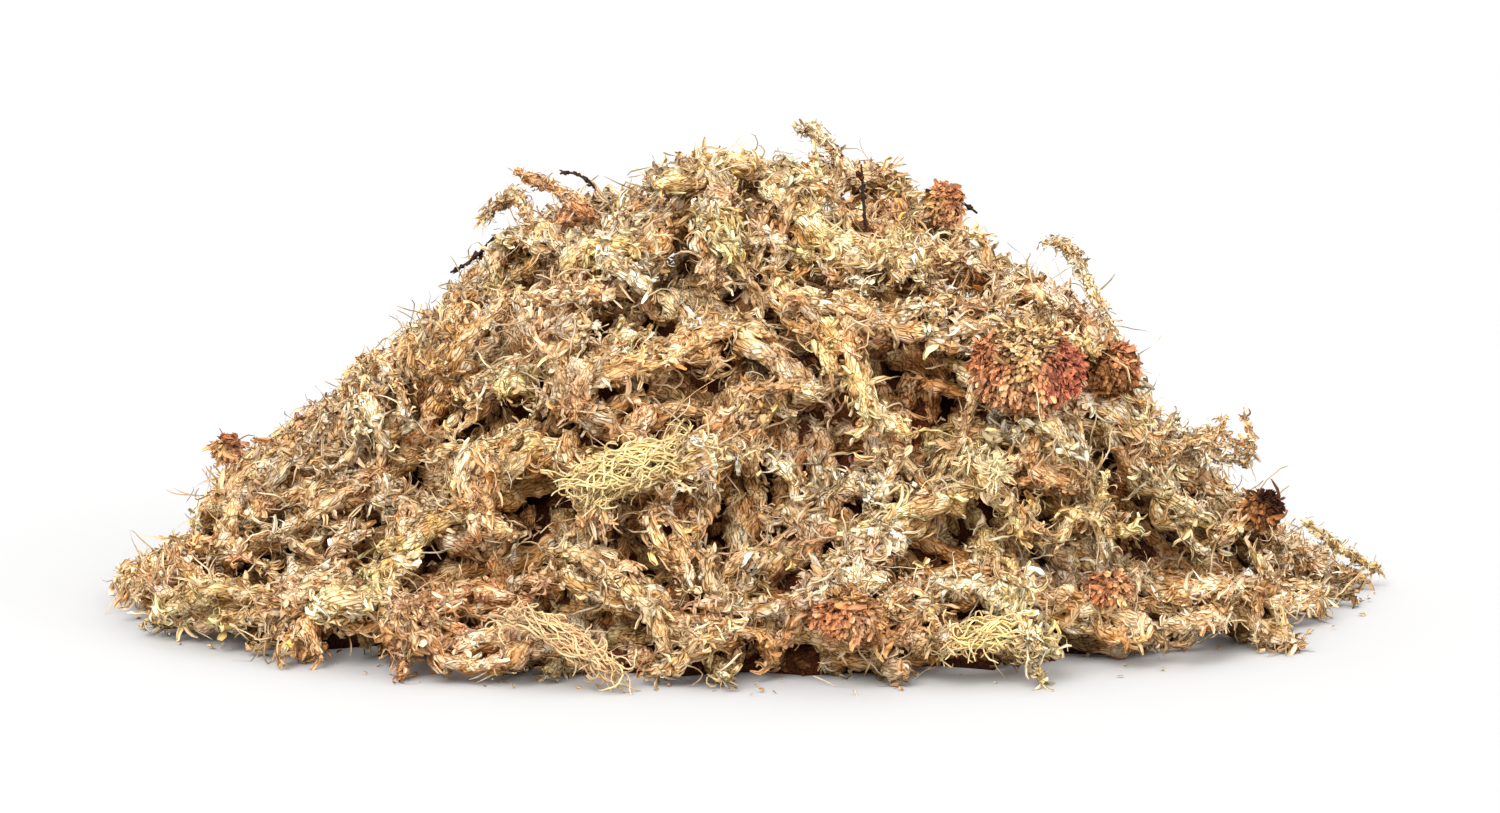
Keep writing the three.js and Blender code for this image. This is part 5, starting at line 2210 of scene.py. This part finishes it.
@dataclass
class Studio:
    """A pale floor, soft lights and the camera, in metres."""

    floor_half: float = 14.0
    floor_albedo: float = 0.52
    sky: float = 1.13
    camera_distance: float = VIEW_DISTANCE * MM
    aim_height: float = VIEW_AIM * MM
    half_frame: float = 0.2025

    def build(self) -> None:
        """Makes the floor, the lights and the camera."""
        self._build_floor()
        self._build_lights()
        self._build_camera()
        bpy.context.scene.view_settings.view_transform = "Standard"

    def _build_floor(self) -> None:
        """Makes the floor."""
        half = self.floor_half
        mesh = bpy.data.meshes.new("floor")
        corners = [(-half, -half, 0.0), (half, -half, 0.0), (half, half, 0.0), (-half, half, 0.0)]
        mesh.from_pydata(corners, [], [(0, 1, 2, 3)])
        material = bpy.data.materials.new("pale_floor")
        material.use_nodes = True
        shader = material.node_tree.nodes["Principled BSDF"]
        shader.inputs["Base Color"].default_value = (*[self.floor_albedo] * 3, 1.0)
        shader.inputs["Roughness"].default_value = 0.9
        shader.inputs["Specular IOR Level"].default_value = 0.0
        mesh.materials.append(material)
        floor = linked("floor", mesh)

    def _build_lights(self) -> None:
        """Makes the white surroundings and the two soft lights."""
        world = bpy.data.worlds.new("white_room")
        world.use_nodes = True
        background = world.node_tree.nodes["Background"]
        background.inputs["Color"].default_value = (1.0, 1.0, 1.0, 1.0)
        background.inputs["Strength"].default_value = self.sky
        bpy.context.scene.world = world
        self._add_light("key", (-0.35, -0.95, 0.85), 35.0, 3.15)
        self._add_light("fill", (0.8, -0.9, 0.5), 60.0, 1.8)

    def _add_light(self, name: str, way: tuple[float, float, float], spread: float, strength: float) -> None:
        """Adds a soft light from far away.

        Args:
            name: the light's name.
            way: direction towards it.
            spread: its breadth in degrees.
            strength: in watts a square metre.
        """
        data = bpy.data.lights.new(name, "SUN")
        data.angle = math.radians(spread)
        data.energy = strength
        light = linked(name, data)
        light.rotation_euler = (-Vector(way)).to_track_quat("-Z", "Y").to_euler()
        light.location = way

    def _build_camera(self) -> None:
        """Makes the camera."""
        data = bpy.data.cameras.new("camera")
        data.sensor_fit = "HORIZONTAL"
        data.angle = 2.0 * math.atan(self.half_frame / self.camera_distance)
        camera = linked("camera", data)
        back = self.camera_distance * math.cos(VIEW_PITCH)
        rise = self.camera_distance * math.sin(VIEW_PITCH)
        camera.location = (0.0, -back, self.aim_height + rise)
        camera.rotation_euler = (math.pi / 2.0 - VIEW_PITCH, 0.0, 0.0)
        bpy.context.scene.camera = camera


# ---- everything ----

LARGE_LOBES = (
    Lobe(-0.62, 0.1, Tint.RUST),
    Lobe(-0.85, 0.4, Tint.RUST),
    Lobe(-0.55, -0.25, Tint.SALMON),
    Lobe(-0.1, 0.1, Tint.TAN),
    Lobe(0.0, 0.85, Tint.STRAW),
    Lobe(0.35, 0.1, Tint.RUST),
    Lobe(0.5, -0.2, Tint.RED),
    Lobe(0.85, 0.15, Tint.RED),
    Lobe(0.05, -0.65, Tint.SALMON),
)
RED_LOBES = (Lobe(-0.4, 0.0, Tint.RUST), Lobe(0.5, 0.3, Tint.SALMON), Lobe(0.3, -0.6, Tint.TAN))
RUST_LOBES = (Lobe(-0.3, 0.3, Tint.RUST), Lobe(0.4, -0.2, Tint.SALMON), Lobe(0.0, 0.9, Tint.TAN))
BROWN_LOBES = (Lobe(-0.4, 0.0, Tint.BROWN), Lobe(0.4, 0.3, Tint.RUST), Lobe(0.3, -0.6, Tint.BROWN))
DARK_LOBES = (Lobe(-0.4, 0.0, Tint.BROWN), Lobe(0.4, 0.3, Tint.UMBER), Lobe(0.3, -0.6, Tint.BROWN))
CROWN_LOBES = (Lobe(0.2, 0.8, Tint.RUST), Lobe(-0.6, 0.1, Tint.TAN), Lobe(0.3, -0.4, Tint.SALMON))

HEADS = (
    Head("head_red_large", RED_FINISH, LARGE_LOBES, 411),
    Head("head_rust_front", RED_FINISH, RUST_LOBES, 412),
    Head("head_red_low", RED_FINISH, RED_LOBES, 413, size=0.8),
    Head("head_rust_crown", RED_FINISH, CROWN_LOBES, 414, size=0.85),
    Head("head_dark_right", BROWN_FINISH, DARK_LOBES, 415, size=0.72),
    Head("head_brown_right", BROWN_FINISH, BROWN_LOBES, 416),
    Head("head_left", RED_FINISH, CROWN_LOBES, 418, size=0.6),
)
SPRIGS = (
    Sprig("sprig_crown", (34.0, 8.0), (12.0, 19.0), 1.9, (Tint.STRAW, Tint.CREAM), 501),
    Sprig("sprig_left_tall", (-38.0, -8.0), (-64.0, 5.0), 1.5, (Tint.SALMON, Tint.TAN), 502, rise=10.0),
    Sprig("sprig_left_fork", (-54.0, -4.0), (-73.0, 7.0), 1.7, (Tint.STRAW, Tint.TAUPE), 503),
    Sprig("sprig_right_curl", (98.0, -58.0), (76.0, -47.0), 1.3, (Tint.STRAW, Tint.CREAM), 504, rise=7.0),
    Sprig("sprig_left_loop", (-86.0, -48.0), (-106.0, -38.0), 1.2, (Tint.TAN, Tint.STRAW), 505),
    Sprig("straw_right", (150.0, -4.0), (176.0, 9.0), 1.0, (Tint.YELLOW, Tint.STRAW), 506),
)
TWIGS = (
    Twig("twig_crown", (33.0, -12.0), (31.0, -3.0), 521),
    Twig("twig_right", (48.0, 0.0), (64.0, 7.0), 522, arch=0.05),
    Twig("twig_left_hook", (-36.0, 16.0), (-52.0, 25.0), 523, rise=-8.0),
    Twig("twig_left_short", (-68.0, 20.0), (-82.0, 26.0), 524),
)
BUNDLES = (
    FibreBundle("fibre_bundle_large", 431, fibres=150),
    FibreBundle("fibre_bundle_low", 432, fibres=70),
    FibreBundle("fibre_bundle_foot", 433, fibres=80, tint=Tint.STRAW),
)
TRACES = (
    Trace(((4.6, 16.0), (1.0, 29.0), (0.3, 37.0), (3.0, 41.5)), 2.3, Tint.STRAW, Tint.CREAM),
    Trace(((3.0, 41.5), (8.0, 37.0), (10.5, 26.0), (15.5, 13.0)), 3.4, Tint.CREAM, Tint.STRAW),
    Trace(((-90.0, 51.0), (-80.0, 64.0), (-72.5, 72.5)), 3.2, Tint.STRAW, Tint.TAN),
    Trace(((-31.0, 28.0), (-16.0, 35.0), (-3.0, 42.0)), 3.0, Tint.STRAW, Tint.CREAM),
    Trace(((19.0, 25.0), (28.0, 29.0), (36.0, 31.0)), 3.6, Tint.CREAM, Tint.CREAM),
    Trace(((-84.0, 61.0), (-62.0, 87.0)), 3.6, Tint.TAN, Tint.STRAW),
    Trace(((-120.0, -7.0), (-108.0, -3.5), (-95.0, 1.0)), 5.0, Tint.STRAW, Tint.YELLOW),
    Trace(((-170.0, -0.5), (-163.0, 1.5), (-154.0, 5.5)), 2.0, Tint.STRAW, Tint.TAN),
    Trace(((-159.0, 0.5), (-147.0, -1.5), (-134.0, -3.0)), 2.4, Tint.YELLOW, Tint.STRAW),
    Trace(((-146.0, -10.5), (-136.0, -8.5), (-123.0, -7.0)), 2.6, Tint.STRAW, Tint.YELLOW),
    Trace(((-6.0, -10.0), (4.0, -14.0), (7.0, -22.5)), 2.8, Tint.STRAW, Tint.TAN),
    Trace(((-13.0, 2.0), (2.0, -1.0), (20.0, -3.0)), 2.0, Tint.CREAM, Tint.TAUPE),
    Trace(((44.0, 87.0), (55.0, 83.5), (67.0, 79.0)), 3.8, Tint.BROWN, Tint.TAUPE),
    Trace(((57.0, 90.0), (64.0, 86.0), (72.0, 80.0)), 2.6, Tint.BROWN, Tint.BROWN),
    Trace(((35.0, -13.5), (45.0, -12.0), (55.0, -14.0)), 3.4, Tint.STRAW, Tint.TAN),
    Trace(((-13.0, 105.0), (-8.0, 99.0), (-4.0, 91.0)), 3.2, Tint.YELLOW, Tint.YELLOW),
    Trace(((-41.0, 93.0), (-33.0, 90.0), (-27.0, 83.0)), 3.2, Tint.CREAM, Tint.CREAM),
)


def all_bunches() -> list[Bunch]:
    """Reads the plan of the rows.

    Returns:
        One bunch for each of their solids.
    """
    return [
        Bunch(f"{row.name}_{i:02d}", plans, seed=row.seed + i)
        for row in ROWS
        for i, plans in enumerate(row_plan(row), start=1)
    ]


def write_sizes() -> None:
    """Brings the scene's transforms up to date."""
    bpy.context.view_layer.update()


def main() -> None:
    """Builds the studio and every piece of the heap."""
    logging.basicConfig(level=logging.INFO, format="%(name)s %(message)s")
    Studio().build()
    heart, loose, bunches = Heart(), LooseStrands(), all_bunches()
    spray, front = Spray("spray_right", 507), FrontStrands(TRACES)
    for grower in (heart, loose, front, *bunches, *SPRIGS, spray):
        grower.grow()
    ropes = [rope for _, rope in heart.ropes] + [rope for bunch in (front, *bunches) for rope in bunch.ropes]
    heads = [head.node for head in HEADS] + ["head_pale_star"]
    daylight = Daylight(np.concatenate([rope.skin() for rope in ropes]), heads)
    for piece in (heart, loose, front, *bunches, *SPRIGS, spray):
        piece.build(daylight)
    for piece in (*HEADS, StarHead("head_pale_star", 417), *BUNDLES, *TWIGS, Crumbs()):
        piece.build()
    write_sizes()


if __name__ == "__main__":
    main()
